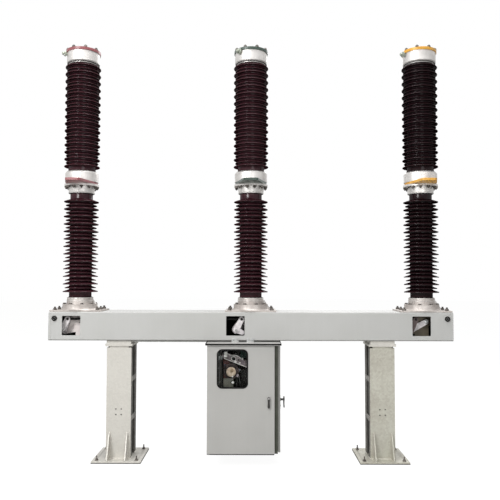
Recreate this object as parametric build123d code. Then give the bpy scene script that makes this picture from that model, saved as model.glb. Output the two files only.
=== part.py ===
"""Three-pole gas insulated (live tank) circuit breaker on a two-leg support.

Millimetres, +Z up. The origin lies on the foundation, midway between the two
legs and centred on the beam's depth. +X runs along the beam to the right-hand
pole, +Y points away from the cabinet's front door.
"""
from build123d import *
from math import cos, radians, sin, sqrt
import os

# ---- Driving dimensions -------------------------------------------------
# overall layout
POLE_PITCH = 1700.0
LEG_PITCH = 2552.0

# foundation plates and legs
BASE_PLATE_THICK = 20.0
ANCHOR_SPACING = 380.0
ANCHOR_EDGE = 45.0
ANCHOR_HOLE_R = 14.0
CHANNEL_LENGTH = 1076.0
CHANNEL_WEB = 240.0
CHANNEL_FLANGE = 80.0
CHANNEL_WEB_THICK = 8.5
CHANNEL_FLANGE_THICK = 12.0
LEG_DEPTH = 258.0
LEG_NOTCH = 16.0
BATTEN_HEIGHT = 47.0
BATTEN_THICK = 6.0
BATTEN_LAP = 50.0
BATTEN_LEVELS = (400.0, 776.0)
EARTH_HOLE_R = 6.5
EARTH_SPACING_X = 52.0
EARTH_SPACING_Z = 54.0
EARTH_LEVEL = 463.0
GUSSET_OFFSET = 86.0
GUSSET_HEIGHT = 250.0
GUSSET_THICK = 10.0
GUSSET_TOE = 12.0
CAP_PLATE_LAP = 11.0
CAP_PLATE_DEPTH = 300.0
CAP_PLATE_THICK = 22.0
SEAT_INSET = 2.0
SEAT_HEIGHT = 35.0

# box beam
BEAM_OVERHANG = 255.0
BEAM_DEPTH = 350.0
BEAM_HEIGHT = 277.0
BEAM_WALL = 8.0
BEAM_TOP_WALL = 12.0
WINDOW_WIDTH = 178.0
WINDOW_HEADER = 40.0
WINDOW_SILL = 49.0
WINDOW_CORNER = 8.0
WINDOW_OFFSETS = {"left": -35.0, "middle": -147.0, "right": -51.0}
LIFT_INSET = 58.0
LIFT_DROP = 64.0
LIFT_R = 24.0
LIFT_BORE_R = 11.0
LIFT_PROUD = 12.0
DUCT_HEIGHT = 18.0
DUCT_WIDTH = 40.0
DUCT_Y = -100.0

# poles
POLES = {"left": -1, "middle": 0, "right": 1}
POLE_PLATE_WIDTH = 500.0
POLE_PLATE_DEPTH = 340.0
POLE_PLATE_THICK = 14.0
POLE_CONE_HEIGHT = 15.0
POLE_CONE_R = 186.0
LOWER_FLANGE_R = 169.0
LOWER_FLANGE_HEIGHT = 40.0
LOWER_COLLAR_HEIGHT = 65.0
COLLAR_WALL = 16.5
COLLAR_FLARE = 6.0
SUPPORT_LENGTH = 1033.0
SUPPORT_CORE_R = 108.5
SUPPORT_SHEDS = 13
SUPPORT_OVERHANG = 61.0
SUPPORT_SMALL_OVERHANG = 42.5
SUPPORT_FIRST_SHED = 56.0
SUPPORT_LAST_SHED = 82.0
CAP_COLLAR_HEIGHT = 71.0
CAP_FLANGE_R = 168.0
CAP_FLANGE_THICK = 20.0
TERMINAL_THICK = 24.0
TERMINAL_R = 155.0
TERMINAL_SHOULDER = 150.0
TERMINAL_REACH = 330.0
TERMINAL_END_WIDTH = 132.0
TERMINAL_SPACING = 50.0
TERMINAL_HOLE_R = 7.0
TERMINAL_HOLE_EDGE = 45.0
HOUSING_WALL = 30.0
HOUSING_HEIGHT = 86.0
HOUSING_NECK_WALL = 14.0
HOUSING_NECK_HEIGHT = 17.0
INTERRUPTER_LENGTH = 1090.0
INTERRUPTER_CORE_R = 132.0
INTERRUPTER_SHEDS = 15
INTERRUPTER_OVERHANG = 42.0
INTERRUPTER_SMALL_OVERHANG = 27.0
INTERRUPTER_FIRST_SHED = 53.0
INTERRUPTER_LAST_SHED = 35.0
TOP_HOUSING_HEIGHT = 110.0
TOP_COVER_R = 170.0
TOP_COVER_SHOULDER = 115.0
TOP_COVER_END_WIDTH = 100.0
TOP_COVER_THICK = 28.0
TOP_BOLT_CIRCLE_R = 153.0
TOP_BOLTS = 8
TOP_BOLT_HEAD_R = 13.0
TOP_BOLT_HEIGHT = 25.0
SHED_RIM = 8.0
SHED_TOP_SLOPE = 0.33
SHED_UNDER_SLOPE = 0.10

# crank housings, levers and rods inside the beam
SHAFT_OFFSET = 140.0
SHAFT_HEIGHT = 97.0
SHAFT_R = 20.0
BEARING_R = 46.0
HOUSING_FRONT_Y = -40.0
HOUSING_BACK_Y = 110.0
LEVER_THICK = 30.0
LEVER_HUB_R = 40.0
LEVER_EYE_R = 22.0
ROD_ARM_HEADROOM = 28.0
ROD_ARM_ANGLE = 64.0
DRIVE_ARM = 72.0
DRIVE_ARM_ANGLE = 20.0
LONG_ARM = 181.0
LONG_ARM_ANGLE = 26.6
LONG_ARM_TIP_R = 22.0
SWING_GAP = 5.0
PIN_R = 10.0
PIN_CLEARANCE = 0.1
OPEN_PIVOT_CLEARANCE = 2.0
ROD_R = 12.0
ROD_EYE_THICK = 26.0

# operating cabinet under the beam
CABINET_LEFT = -403.0
CABINET_WIDTH = 683.0
CABINET_FRONT = -375.0
CABINET_BACK = 350.0
CABINET_BOTTOM = 131.0
ROOF_GAP = 10.0
SHEET = 3.0
ROOF_LIP = 12.0
ROOF_SIDE_OVERHANG = 14.0
ROOF_FRONT_OVERHANG = 20.0
DOOR_THICK = 20.0
DOOR_SETBACK = 12.0
DOOR_GAP = 1.5
POST = 40.0
SIDE_STRIP = 57.0
CORNER_GROOVE = 60.0
HINGE_INSET = 13.0
HINGE_PIN_R = 6.0
HINGE_PIN_LENGTH = 22.0
GLASS_WIDTH = 281.0
GLASS_HEIGHT = 353.0
GLASS_LEFT = 95.0
GLASS_TOP = 34.0
GLASS_CORNER = 45.0
GLASS_LAP = 9.0
GLASS_THICK = 5.0
HANDLE_EDGE = 53.0
HANDLE_RISE = 515.0
HANDLE_LENGTH = 96.0
HANDLE_WIDTH = 26.0
HANDLE_THICK = 14.0
HANDLE_STUD_R = 8.0
HANDLE_PAD = 4.0
SIDE_HANDLE_EDGE = 70.0
SIDE_HANDLE_RISE = 480.0
SIDE_HANDLE_STAND = 22.0
SIDE_HANDLE_DROP = 78.0
SIDE_HANDLE_TIP = 32.0
HANGER_WIDTH = 70.0
HANGER_THICK = 10.0
HANGER_FOOT = 40.0
HANGER_RISE = 27.0
HANGER_OFFSETS = (-148.0, -3.0)
ROD_HOLE_R = 26.0

# spring mechanism behind the door's window
MECH_PLATE = 12.0
MECH_LEFT_GAP = 113.0
MECH_RIGHT_GAP = 178.0
MECH_FRONT_Y = -200.0
MECH_BACK_Y = 180.0
MECH_TOP_GAP = 50.0
OUTPUT_SHAFT_R = 16.0
DRIVE_ROD_LENGTH = 250.0
CAM_OFFSET = -47.0
CAM_DROP = 140.0
CAM_R = 48.0
CAM_PLATE_R = 74.0
CAM_THICK = 30.0
CAM_SHAFT_R = 18.0
SEAT_CLEARANCE = 0.3
BRACE_SPAN = 0.72
BRACE_RISE = 7.0
BRACE_DROP = 82.0
BRACE_WIDTH = 62.0
BRACE_THICK = 40.0
BRACE_POST_R = 15.0

# ---- Levels and places worked out from them -----------------------------
base_plate_half = ANCHOR_SPACING / 2 + ANCHOR_EDGE
cap_plate_half = CHANNEL_WEB / 2 + CAP_PLATE_LAP
leg_top = BASE_PLATE_THICK + CHANNEL_LENGTH
cap_plate_top = leg_top + CAP_PLATE_THICK
beam_bottom = cap_plate_top + SEAT_HEIGHT
beam_top = beam_bottom + BEAM_HEIGHT
beam_half = POLE_PITCH + BEAM_OVERHANG
beam_front = -BEAM_DEPTH / 2
beam_inner_bottom = beam_bottom + BEAM_WALL
beam_inner_top = beam_top - BEAM_TOP_WALL

collar_r = SUPPORT_CORE_R + COLLAR_WALL
collar_flare_r = collar_r + COLLAR_FLARE
housing_r = INTERRUPTER_CORE_R + HOUSING_WALL
housing_neck_r = INTERRUPTER_CORE_R + HOUSING_NECK_WALL
pole_plate_top = beam_top + POLE_PLATE_THICK
lower_flange_bottom = pole_plate_top + POLE_CONE_HEIGHT
lower_collar_bottom = lower_flange_bottom + LOWER_FLANGE_HEIGHT
support_bottom = lower_collar_bottom + LOWER_COLLAR_HEIGHT
support_top = support_bottom + SUPPORT_LENGTH
cap_flange_bottom = support_top + CAP_COLLAR_HEIGHT
terminal_bottom = cap_flange_bottom + CAP_FLANGE_THICK
housing_bottom = terminal_bottom + TERMINAL_THICK
housing_neck_bottom = housing_bottom + HOUSING_HEIGHT
interrupter_bottom = housing_neck_bottom + HOUSING_NECK_HEIGHT
interrupter_top = interrupter_bottom + INTERRUPTER_LENGTH
cover_bottom = interrupter_top + TOP_HOUSING_HEIGHT
cover_top = cover_bottom + TOP_COVER_THICK

shaft_level = beam_bottom + SHAFT_HEIGHT
rod_arm = beam_inner_top - ROD_ARM_HEADROOM - LEVER_EYE_R - shaft_level
lever_back_y = HOUSING_FRONT_Y - SWING_GAP
lever_front_y = lever_back_y - LEVER_THICK
rod_back_y = lever_front_y - SWING_GAP
rod_front_y = rod_back_y - ROD_EYE_THICK
rod_y = (rod_front_y + rod_back_y) / 2

cabinet_right = CABINET_LEFT + CABINET_WIDTH
door_back_y = CABINET_FRONT + DOOR_THICK
frame_front = door_back_y + DOOR_SETBACK
frame_right = cabinet_right - DOOR_THICK - DOOR_SETBACK
front_door_right = cabinet_right - SIDE_STRIP
side_door_front = CABINET_FRONT + CORNER_GROOVE
roof_top = beam_bottom - ROOF_GAP
roof_under = roof_top - SHEET
floor_top = CABINET_BOTTOM + SHEET
door_bottom = floor_top + DOOR_GAP
lip_bottom = roof_top - ROOF_LIP
door_top = lip_bottom - SWING_GAP
handle_level = CABINET_BOTTOM + HANDLE_RISE
side_handle_level = CABINET_BOTTOM + SIDE_HANDLE_RISE
output_level = shaft_level - DRIVE_ROD_LENGTH
cam_level = output_level - CAM_DROP
mech_left = CABINET_LEFT + MECH_LEFT_GAP
mech_right = cabinet_right - MECH_RIGHT_GAP
mech_top = roof_top - MECH_TOP_GAP


# ---- Shape helpers ------------------------------------------------------
def block(x_span, y_span, z_span):
    """A box between two values on each axis."""
    (x0, x1), (y0, y1), (z0, z1) = x_span, y_span, z_span
    middle = ((x0 + x1) / 2, (y0 + y1) / 2, (z0 + z1) / 2)
    return Pos(*middle) * Box(x1 - x0, y1 - y0, z1 - z0)


def bar_x(y, z, radius, x_span):
    """A round bar along X."""
    x0, x1 = x_span
    return Pos((x0 + x1) / 2, y, z) * Rot(0, 90, 0) * Cylinder(radius, x1 - x0)


def bar_y(x, z, radius, y_span):
    """A round bar along Y."""
    y0, y1 = y_span
    return Pos(x, (y0 + y1) / 2, z) * Rot(90, 0, 0) * Cylinder(radius, y1 - y0)


def bar_z(x, y, radius, z_span, top_radius=None):
    """A round bar along Z, or a cone where its top radius differs."""
    z0, z1 = z_span
    place = Pos(x, y, (z0 + z1) / 2)
    if top_radius is None:
        return place * Cylinder(radius, z1 - z0)
    return place * Cone(radius, top_radius, z1 - z0)


def front_face(y, sketch):
    """A sketch drawn in X and Z, set on the plane of one Y."""
    return Plane(origin=(0, y, 0), x_dir=(1, 0, 0), z_dir=(0, -1, 0)) * sketch


def plate_xz(sketch, y_span):
    """A plate whose outline is drawn in X and Z."""
    y0, y1 = y_span
    return extrude(front_face(y1, sketch), amount=y1 - y0)


def polar(length, angle):
    """The X and Z of a point at an angle above the X axis."""
    return length * cos(radians(angle)), length * sin(radians(angle))


def arm(x, z, length, angle, root_r, tip_r):
    """The outline of a tapered lever arm with a round tip."""
    dx, dz = polar(1, angle)
    tip_x, tip_z = x + length * dx, z + length * dz
    corners = [
        (x - root_r * dz, z + root_r * dx),
        (x + root_r * dz, z - root_r * dx),
        (tip_x + tip_r * dz, tip_z - tip_r * dx),
        (tip_x - tip_r * dz, tip_z + tip_r * dx),
    ]
    return make_face(Polyline(*corners, close=True)) + Pos(tip_x, tip_z) * Circle(tip_r)


def save(name, shape):
    """Write one sub-part."""
    export_step(shape, os.path.join("parts", name + ".step"))


# ---- Support ------------------------------------------------------------
def channel(x, face_y, inward):
    """An upright channel with its web on face_y and its flanges turned inward (+1 or -1)."""
    z_span = (BASE_PLATE_THICK, leg_top)
    half = CHANNEL_WEB / 2
    hollow_x = (x - half + CHANNEL_FLANGE_THICK, x + half - CHANNEL_FLANGE_THICK)
    outer_y = sorted((face_y, face_y + inward * CHANNEL_FLANGE))
    hollow_y = sorted((face_y + inward * CHANNEL_WEB_THICK, face_y + inward * (CHANNEL_FLANGE + 1)))
    return block((x - half, x + half), outer_y, z_span) - block(hollow_x, hollow_y, z_span)


def front_channel(x):
    """The front channel, with weld notches at its top corners and the earthing holes."""
    face_y = -LEG_DEPTH / 2
    shape = channel(x, face_y, 1)
    notch_y = (face_y, face_y + CHANNEL_WEB_THICK)
    notch_z = (leg_top - LEG_NOTCH, leg_top)
    half = CHANNEL_WEB / 2
    shape -= block((x - half, x - half + LEG_NOTCH), notch_y, notch_z)
    shape -= block((x + half - LEG_NOTCH, x + half), notch_y, notch_z)
    for side in (-1, 1):
        for level in (-1, 1):
            hole_x = x + side * EARTH_SPACING_X / 2
            hole_z = EARTH_LEVEL + level * EARTH_SPACING_Z / 2
            shape -= bar_y(hole_x, hole_z, EARTH_HOLE_R, notch_y)
    return shape


def battens(x):
    """The plates that tie a leg's two channels together on both sides."""
    gap_half = LEG_DEPTH / 2 - CHANNEL_FLANGE
    y_span = (-gap_half - BATTEN_LAP, gap_half + BATTEN_LAP)
    half = CHANNEL_WEB / 2
    plates = []
    for level in BATTEN_LEVELS:
        z_span = (level - BATTEN_HEIGHT / 2, level + BATTEN_HEIGHT / 2)
        plates.append(block((x - half - BATTEN_THICK, x - half), y_span, z_span))
        plates.append(block((x + half, x + half + BATTEN_THICK), y_span, z_span))
    return plates


def leg_base(x):
    """The foundation plate with its four anchor holes and the gussets front and rear."""
    half = base_plate_half
    shape = block((x - half, x + half), (-half, half), (0, BASE_PLATE_THICK))
    for side in (-1, 1):
        for end in (-1, 1):
            hole_x = x + side * ANCHOR_SPACING / 2
            hole_y = end * ANCHOR_SPACING / 2
            shape -= bar_z(hole_x, hole_y, ANCHOR_HOLE_R, (0, BASE_PLATE_THICK))
    web_y = LEG_DEPTH / 2
    for side in (-1, 1):
        for end in (-1, 1):
            outline = Polyline(
                (end * web_y, BASE_PLATE_THICK),
                (end * half, BASE_PLATE_THICK),
                (end * half, BASE_PLATE_THICK + GUSSET_TOE),
                (end * (web_y + GUSSET_TOE), BASE_PLATE_THICK + GUSSET_HEIGHT),
                (end * web_y, BASE_PLATE_THICK + GUSSET_HEIGHT),
                close=True,
            )
            face = Plane.YZ * make_face(outline)
            start = x + side * GUSSET_OFFSET - GUSSET_THICK / 2
            gusset = extrude(face, amount=GUSSET_THICK, dir=(1, 0, 0))
            shape += Pos(start, 0, 0) * gusset
    return shape


def leg_cap(x):
    """The cap plate welded on a leg and the seat that the beam stands on."""
    half = cap_plate_half
    depth = CAP_PLATE_DEPTH / 2
    shape = block((x - half, x + half), (-depth, depth), (leg_top, cap_plate_top))
    seat = CHANNEL_WEB / 2 - SEAT_INSET
    return shape + block((x - seat, x + seat), (-depth, depth), (cap_plate_top, beam_bottom))


def make_support():
    """Both legs, from the foundation to the underside of the beam."""
    caps = []
    all_battens = []
    for side, sign in (("left", -1), ("right", 1)):
        x = sign * LEG_PITCH / 2
        save("leg_front_channel_" + side, front_channel(x))
        save("leg_rear_channel_" + side, channel(x, LEG_DEPTH / 2, -1))
        save("leg_base_" + side, leg_base(x))
        caps.append(leg_cap(x))
        all_battens += battens(x)
    save("leg_caps", Compound(children=caps))
    save("leg_battens", Compound(children=all_battens))


# ---- Beam ---------------------------------------------------------------
def pole_x(side):
    """The X of a pole's centre line."""
    return POLES[side] * POLE_PITCH


def shaft_x(side):
    """The X of the crank shaft that serves a pole."""
    return pole_x(side) - SHAFT_OFFSET


def drive_x():
    """The X of the drive rod when the levers are at rest."""
    return shaft_x("middle") + polar(DRIVE_ARM, DRIVE_ARM_ANGLE)[0]


def lift_places():
    """The X values and the level of the lifting pins."""
    x = beam_half - LIFT_INSET
    return (-x, x), beam_top - LIFT_DROP


def drill_lifting_holes(plate, y_span):
    """Bore a beam side plate where the lifting pins pass."""
    places, level = lift_places()
    for x in places:
        plate -= bar_y(x, level, LIFT_R, y_span)
    return plate


def make_beam():
    """The box beam, its end covers, lifting pins and the duct under it."""
    half = beam_half
    inner = BEAM_DEPTH / 2 - BEAM_WALL
    inner_y = (-inner, inner)
    inner_z = (beam_inner_bottom, beam_inner_top)
    front_y = (beam_front, beam_front + BEAM_WALL)
    rear_y = (-beam_front - BEAM_WALL, -beam_front)

    front = block((-half, half), front_y, (beam_bottom, beam_top))
    window_height = BEAM_HEIGHT - WINDOW_SILL - WINDOW_HEADER
    centre_z = beam_bottom + WINDOW_SILL + window_height / 2
    outline = RectangleRounded(WINDOW_WIDTH, window_height, WINDOW_CORNER)
    for side in POLES:
        front -= plate_xz(Pos(pole_x(side) + WINDOW_OFFSETS[side], centre_z) * outline, front_y)
    save("beam_front_plate", drill_lifting_holes(front, front_y))

    rear = block((-half, half), rear_y, (beam_bottom, beam_top))
    save("beam_rear_plate", drill_lifting_holes(rear, rear_y))

    top = block((-half, half), inner_y, (beam_inner_top, beam_top))
    for side in POLES:
        top -= block(*neck_spans(side, SEAT_CLEARANCE), (beam_inner_top, beam_top))
    save("beam_top_plate", top)

    bottom = block((-half, half), inner_y, (beam_bottom, beam_inner_bottom))
    bottom -= bar_z(drive_x(), rod_y, ROD_HOLE_R, (beam_bottom, beam_inner_bottom))
    save("beam_bottom_plate", bottom)

    covers = [
        block((-half, -half + BEAM_WALL), inner_y, inner_z),
        block((half - BEAM_WALL, half), inner_y, inner_z),
    ]
    save("beam_end_covers", Compound(children=covers))

    places, level = lift_places()
    reach = BEAM_DEPTH / 2 + LIFT_PROUD
    pins = []
    for x in places:
        pin = bar_y(x, level, LIFT_R, (-reach, reach))
        pins.append(pin - bar_y(x, level, LIFT_BORE_R, (-reach, reach)))
    save("lifting_pins", Compound(children=pins))

    duct_x = (-LEG_PITCH / 2 + cap_plate_half, CABINET_LEFT - ROOF_SIDE_OVERHANG)
    duct_y = (DUCT_Y - DUCT_WIDTH / 2, DUCT_Y + DUCT_WIDTH / 2)
    save("cable_duct", block(duct_x, duct_y, (beam_bottom - DUCT_HEIGHT, beam_bottom)))


# ---- Poles --------------------------------------------------------------
def neck_spans(side, clearance):
    """The X and Y spans of a crank housing where it passes the beam's top plate."""
    x = pole_x(side)
    return (
        (x - SHAFT_OFFSET / 2 - clearance, x + SHAFT_OFFSET / 2 + clearance),
        (HOUSING_FRONT_Y - clearance, HOUSING_BACK_Y + clearance),
    )


def crank_housing(side):
    """The gas-tight casting that hangs in the beam, with its bearing boss and shaft stub."""
    x = pole_x(side)
    bearing_x = shaft_x(side)
    neck_x = neck_spans(side, 0)[0]
    outline = make_face(Polyline(
        (neck_x[0], beam_top),
        (neck_x[0], beam_inner_top - BEAM_WALL),
        (bearing_x - BEARING_R * cos(radians(45)), shaft_level + BEARING_R * sin(radians(45))),
        (bearing_x, shaft_level - BEARING_R),
        (x, shaft_level - BEARING_R / 2),
        (neck_x[1], shaft_level + BEARING_R),
        (neck_x[1], beam_top),
        close=True,
    ))
    outline += Pos(bearing_x, shaft_level) * Circle(BEARING_R)
    casting = plate_xz(outline, (HOUSING_FRONT_Y, HOUSING_BACK_Y))
    return casting + bar_y(bearing_x, shaft_level, SHAFT_R, (rod_back_y + 1, HOUSING_FRONT_Y))


def pole_base(side):
    """The pole's foot: crank housing, bolting plate, cone, flange and collar."""
    x = pole_x(side)
    half = POLE_PLATE_WIDTH / 2
    depth = POLE_PLATE_DEPTH / 2
    shape = block((x - half, x + half), (-depth, depth), (beam_top, pole_plate_top))
    shape += bar_z(x, 0, POLE_CONE_R, (pole_plate_top, lower_flange_bottom), LOWER_FLANGE_R)
    shape += bar_z(x, 0, LOWER_FLANGE_R, (lower_flange_bottom, lower_collar_bottom))
    collar_z = (lower_collar_bottom, support_bottom)
    shape += bar_z(x, 0, collar_flare_r, collar_z, collar_r)
    return shape + crank_housing(side)


def insulator(x, z_span, core_r, overhangs, count, ends):
    """A porcelain with large sheds and a small one between each two, turned about its axis."""
    z0, z1 = z_span
    first, last = ends
    pitch = (z1 - z0 - first - last) / (count - 1)
    points = [(0, z0), (core_r, z0)]
    for index in range(2 * count - 1):
        level = z0 + first + index * pitch / 2
        reach = overhangs[index % 2]
        radius = core_r + reach
        points += [
            (core_r, level - SHED_RIM / 2 + SHED_UNDER_SLOPE * reach),
            (radius, level - SHED_RIM / 2),
            (radius, level + SHED_RIM / 2),
            (core_r, level + SHED_RIM / 2 + SHED_TOP_SLOPE * reach),
        ]
    points += [(core_r, z1), (0, z1)]
    profile = Plane.XZ * make_face(Polyline(*points, close=True))
    return Pos(x, 0, 0) * revolve(profile, axis=Axis.Z)


def terminal_pad(x, toward, z_span, disc_r, shoulder, end_width):
    """A terminal plate: a disc with a tapered, drilled pad toward the front (-1) or rear (+1).

    The pad leaves the disc where the disc is shoulder wide on each side.
    """
    z0, z1 = z_span
    root_y = toward * sqrt(disc_r**2 - shoulder**2)
    pad = Polyline(
        (-shoulder, root_y),
        (-end_width / 2, toward * TERMINAL_REACH),
        (end_width / 2, toward * TERMINAL_REACH),
        (shoulder, root_y),
        close=True,
    )
    sketch = Circle(disc_r) + make_face(pad)
    centre_y = toward * (TERMINAL_REACH - TERMINAL_HOLE_EDGE)
    for hole in GridLocations(TERMINAL_SPACING, TERMINAL_SPACING, 2, 2):
        sketch -= Pos(0, centre_y) * hole * Circle(TERMINAL_HOLE_R)
    return Pos(x, 0, z0) * extrude(sketch, amount=z1 - z0)


def support_cap(x):
    """The collar and flange that close the support porcelain."""
    collar = bar_z(x, 0, collar_r, (support_top, cap_flange_bottom), collar_flare_r)
    return collar + bar_z(x, 0, CAP_FLANGE_R, (cap_flange_bottom, terminal_bottom))


def lower_housing(x):
    """The casting between the lower terminal and the interrupter porcelain."""
    body = bar_z(x, 0, housing_r, (housing_bottom, housing_neck_bottom))
    neck_z = (housing_neck_bottom, interrupter_bottom)
    return body + bar_z(x, 0, housing_r, neck_z, housing_neck_r)


def top_housing(x):
    """The casting on top of the interrupter porcelain."""
    neck_z = (interrupter_top, interrupter_top + HOUSING_NECK_HEIGHT)
    body = bar_z(x, 0, housing_r, (neck_z[1], cover_bottom))
    return body + bar_z(x, 0, housing_neck_r, neck_z, housing_r)


def top_cover(x):
    """The upper terminal plate with its ring of bolts."""
    shape = terminal_pad(x, 1, (cover_bottom, cover_top),
                         TOP_COVER_R, TOP_COVER_SHOULDER, TOP_COVER_END_WIDTH)
    for place in PolarLocations(TOP_BOLT_CIRCLE_R, TOP_BOLTS, start_angle=180 / TOP_BOLTS):
        bolt = extrude(RegularPolygon(TOP_BOLT_HEAD_R, 6), amount=TOP_BOLT_HEIGHT)
        shape += Pos(x, 0, cover_top) * place * bolt
    return shape


def make_poles():
    """The three poles, each standing on the beam."""
    for side in POLES:
        x = pole_x(side)
        save("pole_base_" + side, pole_base(side))
        save("support_insulator_" + side, insulator(
            x, (support_bottom, support_top), SUPPORT_CORE_R,
            (SUPPORT_OVERHANG, SUPPORT_SMALL_OVERHANG), SUPPORT_SHEDS,
            (SUPPORT_FIRST_SHED, SUPPORT_LAST_SHED)))
        save("support_cap_" + side, support_cap(x))
        save("lower_terminal_" + side, terminal_pad(
            x, -1, (terminal_bottom, housing_bottom),
            TERMINAL_R, TERMINAL_SHOULDER, TERMINAL_END_WIDTH))
        save("lower_housing_" + side, lower_housing(x))
        save("interrupter_insulator_" + side, insulator(
            x, (interrupter_bottom, interrupter_top), INTERRUPTER_CORE_R,
            (INTERRUPTER_OVERHANG, INTERRUPTER_SMALL_OVERHANG), INTERRUPTER_SHEDS,
            (INTERRUPTER_FIRST_SHED, INTERRUPTER_LAST_SHED)))
        save("top_housing_" + side, top_housing(x))
        save("top_cover_" + side, top_cover(x))


# ---- Linkage ------------------------------------------------------------
def lever(x, z, bore_r, arms):
    """A lever on a shaft at x, z; each arm is (length, angle, root_r, tip_r, hole_r)."""
    outline = Pos(x, z) * Circle(LEVER_HUB_R)
    for length, angle, root_r, tip_r, _ in arms:
        outline += arm(x, z, length, angle, root_r, tip_r)
    outline -= Pos(x, z) * Circle(bore_r)
    for length, angle, _, _, hole_r in arms:
        dx, dz = polar(length, angle)
        outline -= Pos(x + dx, z + dz) * Circle(hole_r)
    return plate_xz(outline, (lever_front_y, lever_back_y))


def rod_eye(x, z):
    """The eye at a rod's end, with the pin that passes through the lever."""
    eye = bar_y(x, z, LEVER_EYE_R, (rod_front_y, rod_back_y))
    return eye + bar_y(x, z, PIN_R, (rod_back_y, lever_back_y))


def make_linkage():
    """Three levers on the crank shafts, the rod that ties them and the drive rod."""
    snug = PIN_R + PIN_CLEARANCE
    loose = PIN_R + OPEN_PIVOT_CLEARANCE
    bore_r = SHAFT_R + PIN_CLEARANCE
    root_r = LEVER_HUB_R * 0.9

    tie_arm = (rod_arm, ROD_ARM_ANGLE, root_r, LEVER_EYE_R)
    drive_arm = (DRIVE_ARM, DRIVE_ARM_ANGLE, root_r, LEVER_EYE_R, snug)
    long_arm = (LONG_ARM, LONG_ARM_ANGLE, LONG_ARM_TIP_R, LONG_ARM_TIP_R, loose)
    arms = {
        "left": [(*tie_arm, loose)],
        "middle": [(*tie_arm, snug), drive_arm],
        "right": [(*tie_arm, loose), long_arm],
    }
    for side in POLES:
        save("crank_lever_" + side, lever(shaft_x(side), shaft_level, bore_r, arms[side]))

    eye_dx, eye_dz = polar(rod_arm, ROD_ARM_ANGLE)
    eye_z = shaft_level + eye_dz
    ends = (shaft_x("left") + eye_dx, shaft_x("right") + eye_dx)
    rod = bar_x(rod_y, eye_z, ROD_R, ends)
    for side in POLES:
        rod += rod_eye(shaft_x(side) + eye_dx, eye_z)
    save("phase_rod", rod)

    drive_dx, drive_dz = polar(DRIVE_ARM, DRIVE_ARM_ANGLE)
    x = shaft_x("middle") + drive_dx
    top = shaft_level + drive_dz
    low = output_level + drive_dz
    rod = bar_z(x, rod_y, ROD_R, (low, top)) + rod_eye(x, top) + rod_eye(x, low)
    save("drive_rod", rod)

    output_arm = (DRIVE_ARM, DRIVE_ARM_ANGLE, root_r, LEVER_EYE_R, loose)
    output_bore = OUTPUT_SHAFT_R + PIN_CLEARANCE
    save("output_lever", lever(shaft_x("middle"), output_level, output_bore, [output_arm]))


# ---- Cabinet ------------------------------------------------------------
def ring(x_span, y_span, z_span, along):
    """A rectangular frame of posts and rails that lies across the X or the Y axis."""
    (x0, x1), (y0, y1), (z0, z1) = x_span, y_span, z_span
    shape = block(x_span, y_span, z_span)
    if along == "x":
        return shape - block((x0 + POST, x1 - POST), y_span, (z0 + POST, z1 - POST))
    return shape - block(x_span, (y0 + POST, y1 - POST), (z0 + POST, z1 - POST))


def make_cabinet_shell():
    """The fixed walls, frames, floor, roof and hangers of the cabinet."""
    z_span = (floor_top, roof_under)
    left = CABINET_LEFT
    side_frame_front = frame_front + CORNER_GROOVE - SWING_GAP
    walls = block((left, frame_right), (frame_front, CABINET_BACK), z_span)
    walls -= block((left + SHEET, frame_right), (frame_front, CABINET_BACK - SHEET), z_span)
    save("cabinet_walls", walls)
    floor_z = (CABINET_BOTTOM, floor_top)
    floor = block((left, frame_right), (frame_front, CABINET_BACK), floor_z)
    front_tab_x = (left, left + 2 * HINGE_INSET)
    floor += block(front_tab_x, (CABINET_FRONT, frame_front), floor_z)
    side_tab_y = (CABINET_BACK - 2 * HINGE_INSET, CABINET_BACK)
    floor += block((frame_right, cabinet_right), side_tab_y, floor_z)
    save("cabinet_floor", floor)

    front_x = (left + SHEET, front_door_right + SWING_GAP)
    front_y = (frame_front, side_frame_front)
    save("cabinet_front_frame", ring(front_x, front_y, z_span, "x"))
    side_x = (frame_right - POST, frame_right)
    side_y = (side_frame_front, CABINET_BACK - SHEET)
    save("cabinet_side_frame", ring(side_x, side_y, z_span, "y"))

    roof_x = (left - ROOF_SIDE_OVERHANG, cabinet_right + SWING_GAP)
    roof_y = (CABINET_FRONT - ROOF_FRONT_OVERHANG, CABINET_BACK + ROOF_FRONT_OVERHANG)
    roof = block(roof_x, roof_y, (lip_bottom, roof_top))
    inner_x = (roof_x[0] + SHEET, roof_x[1] - SHEET)
    inner_y = (roof_y[0] + SHEET, roof_y[1] - SHEET)
    roof -= block(inner_x, inner_y, (lip_bottom, roof_under))
    roof -= bar_z(drive_x(), rod_y, ROD_HOLE_R, (roof_under, roof_top))
    save("cabinet_roof", roof)

    hangers = []
    for offset in HANGER_OFFSETS:
        for face in (-1, 1):
            wall_y = face * BEAM_DEPTH / 2
            x_span = (offset - HANGER_WIDTH / 2, offset + HANGER_WIDTH / 2)
            upright_y = sorted((wall_y, wall_y + face * HANGER_THICK))
            foot_y = sorted((wall_y, wall_y + face * HANGER_FOOT))
            hanger = block(x_span, upright_y, (roof_top, beam_bottom + HANGER_RISE))
            hanger += block(x_span, foot_y, (roof_top, roof_top + ROOF_GAP * 0.8))
            hangers.append(hanger)
    save("cabinet_hangers", Compound(children=hangers))


def hinge_places():
    """The X and Y of the front door's and the side door's hinge lines."""
    front = (CABINET_LEFT + HINGE_INSET, (CABINET_FRONT + door_back_y) / 2)
    side = (cabinet_right - DOOR_THICK / 2, CABINET_BACK - HINGE_INSET)
    return front, side


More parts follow.
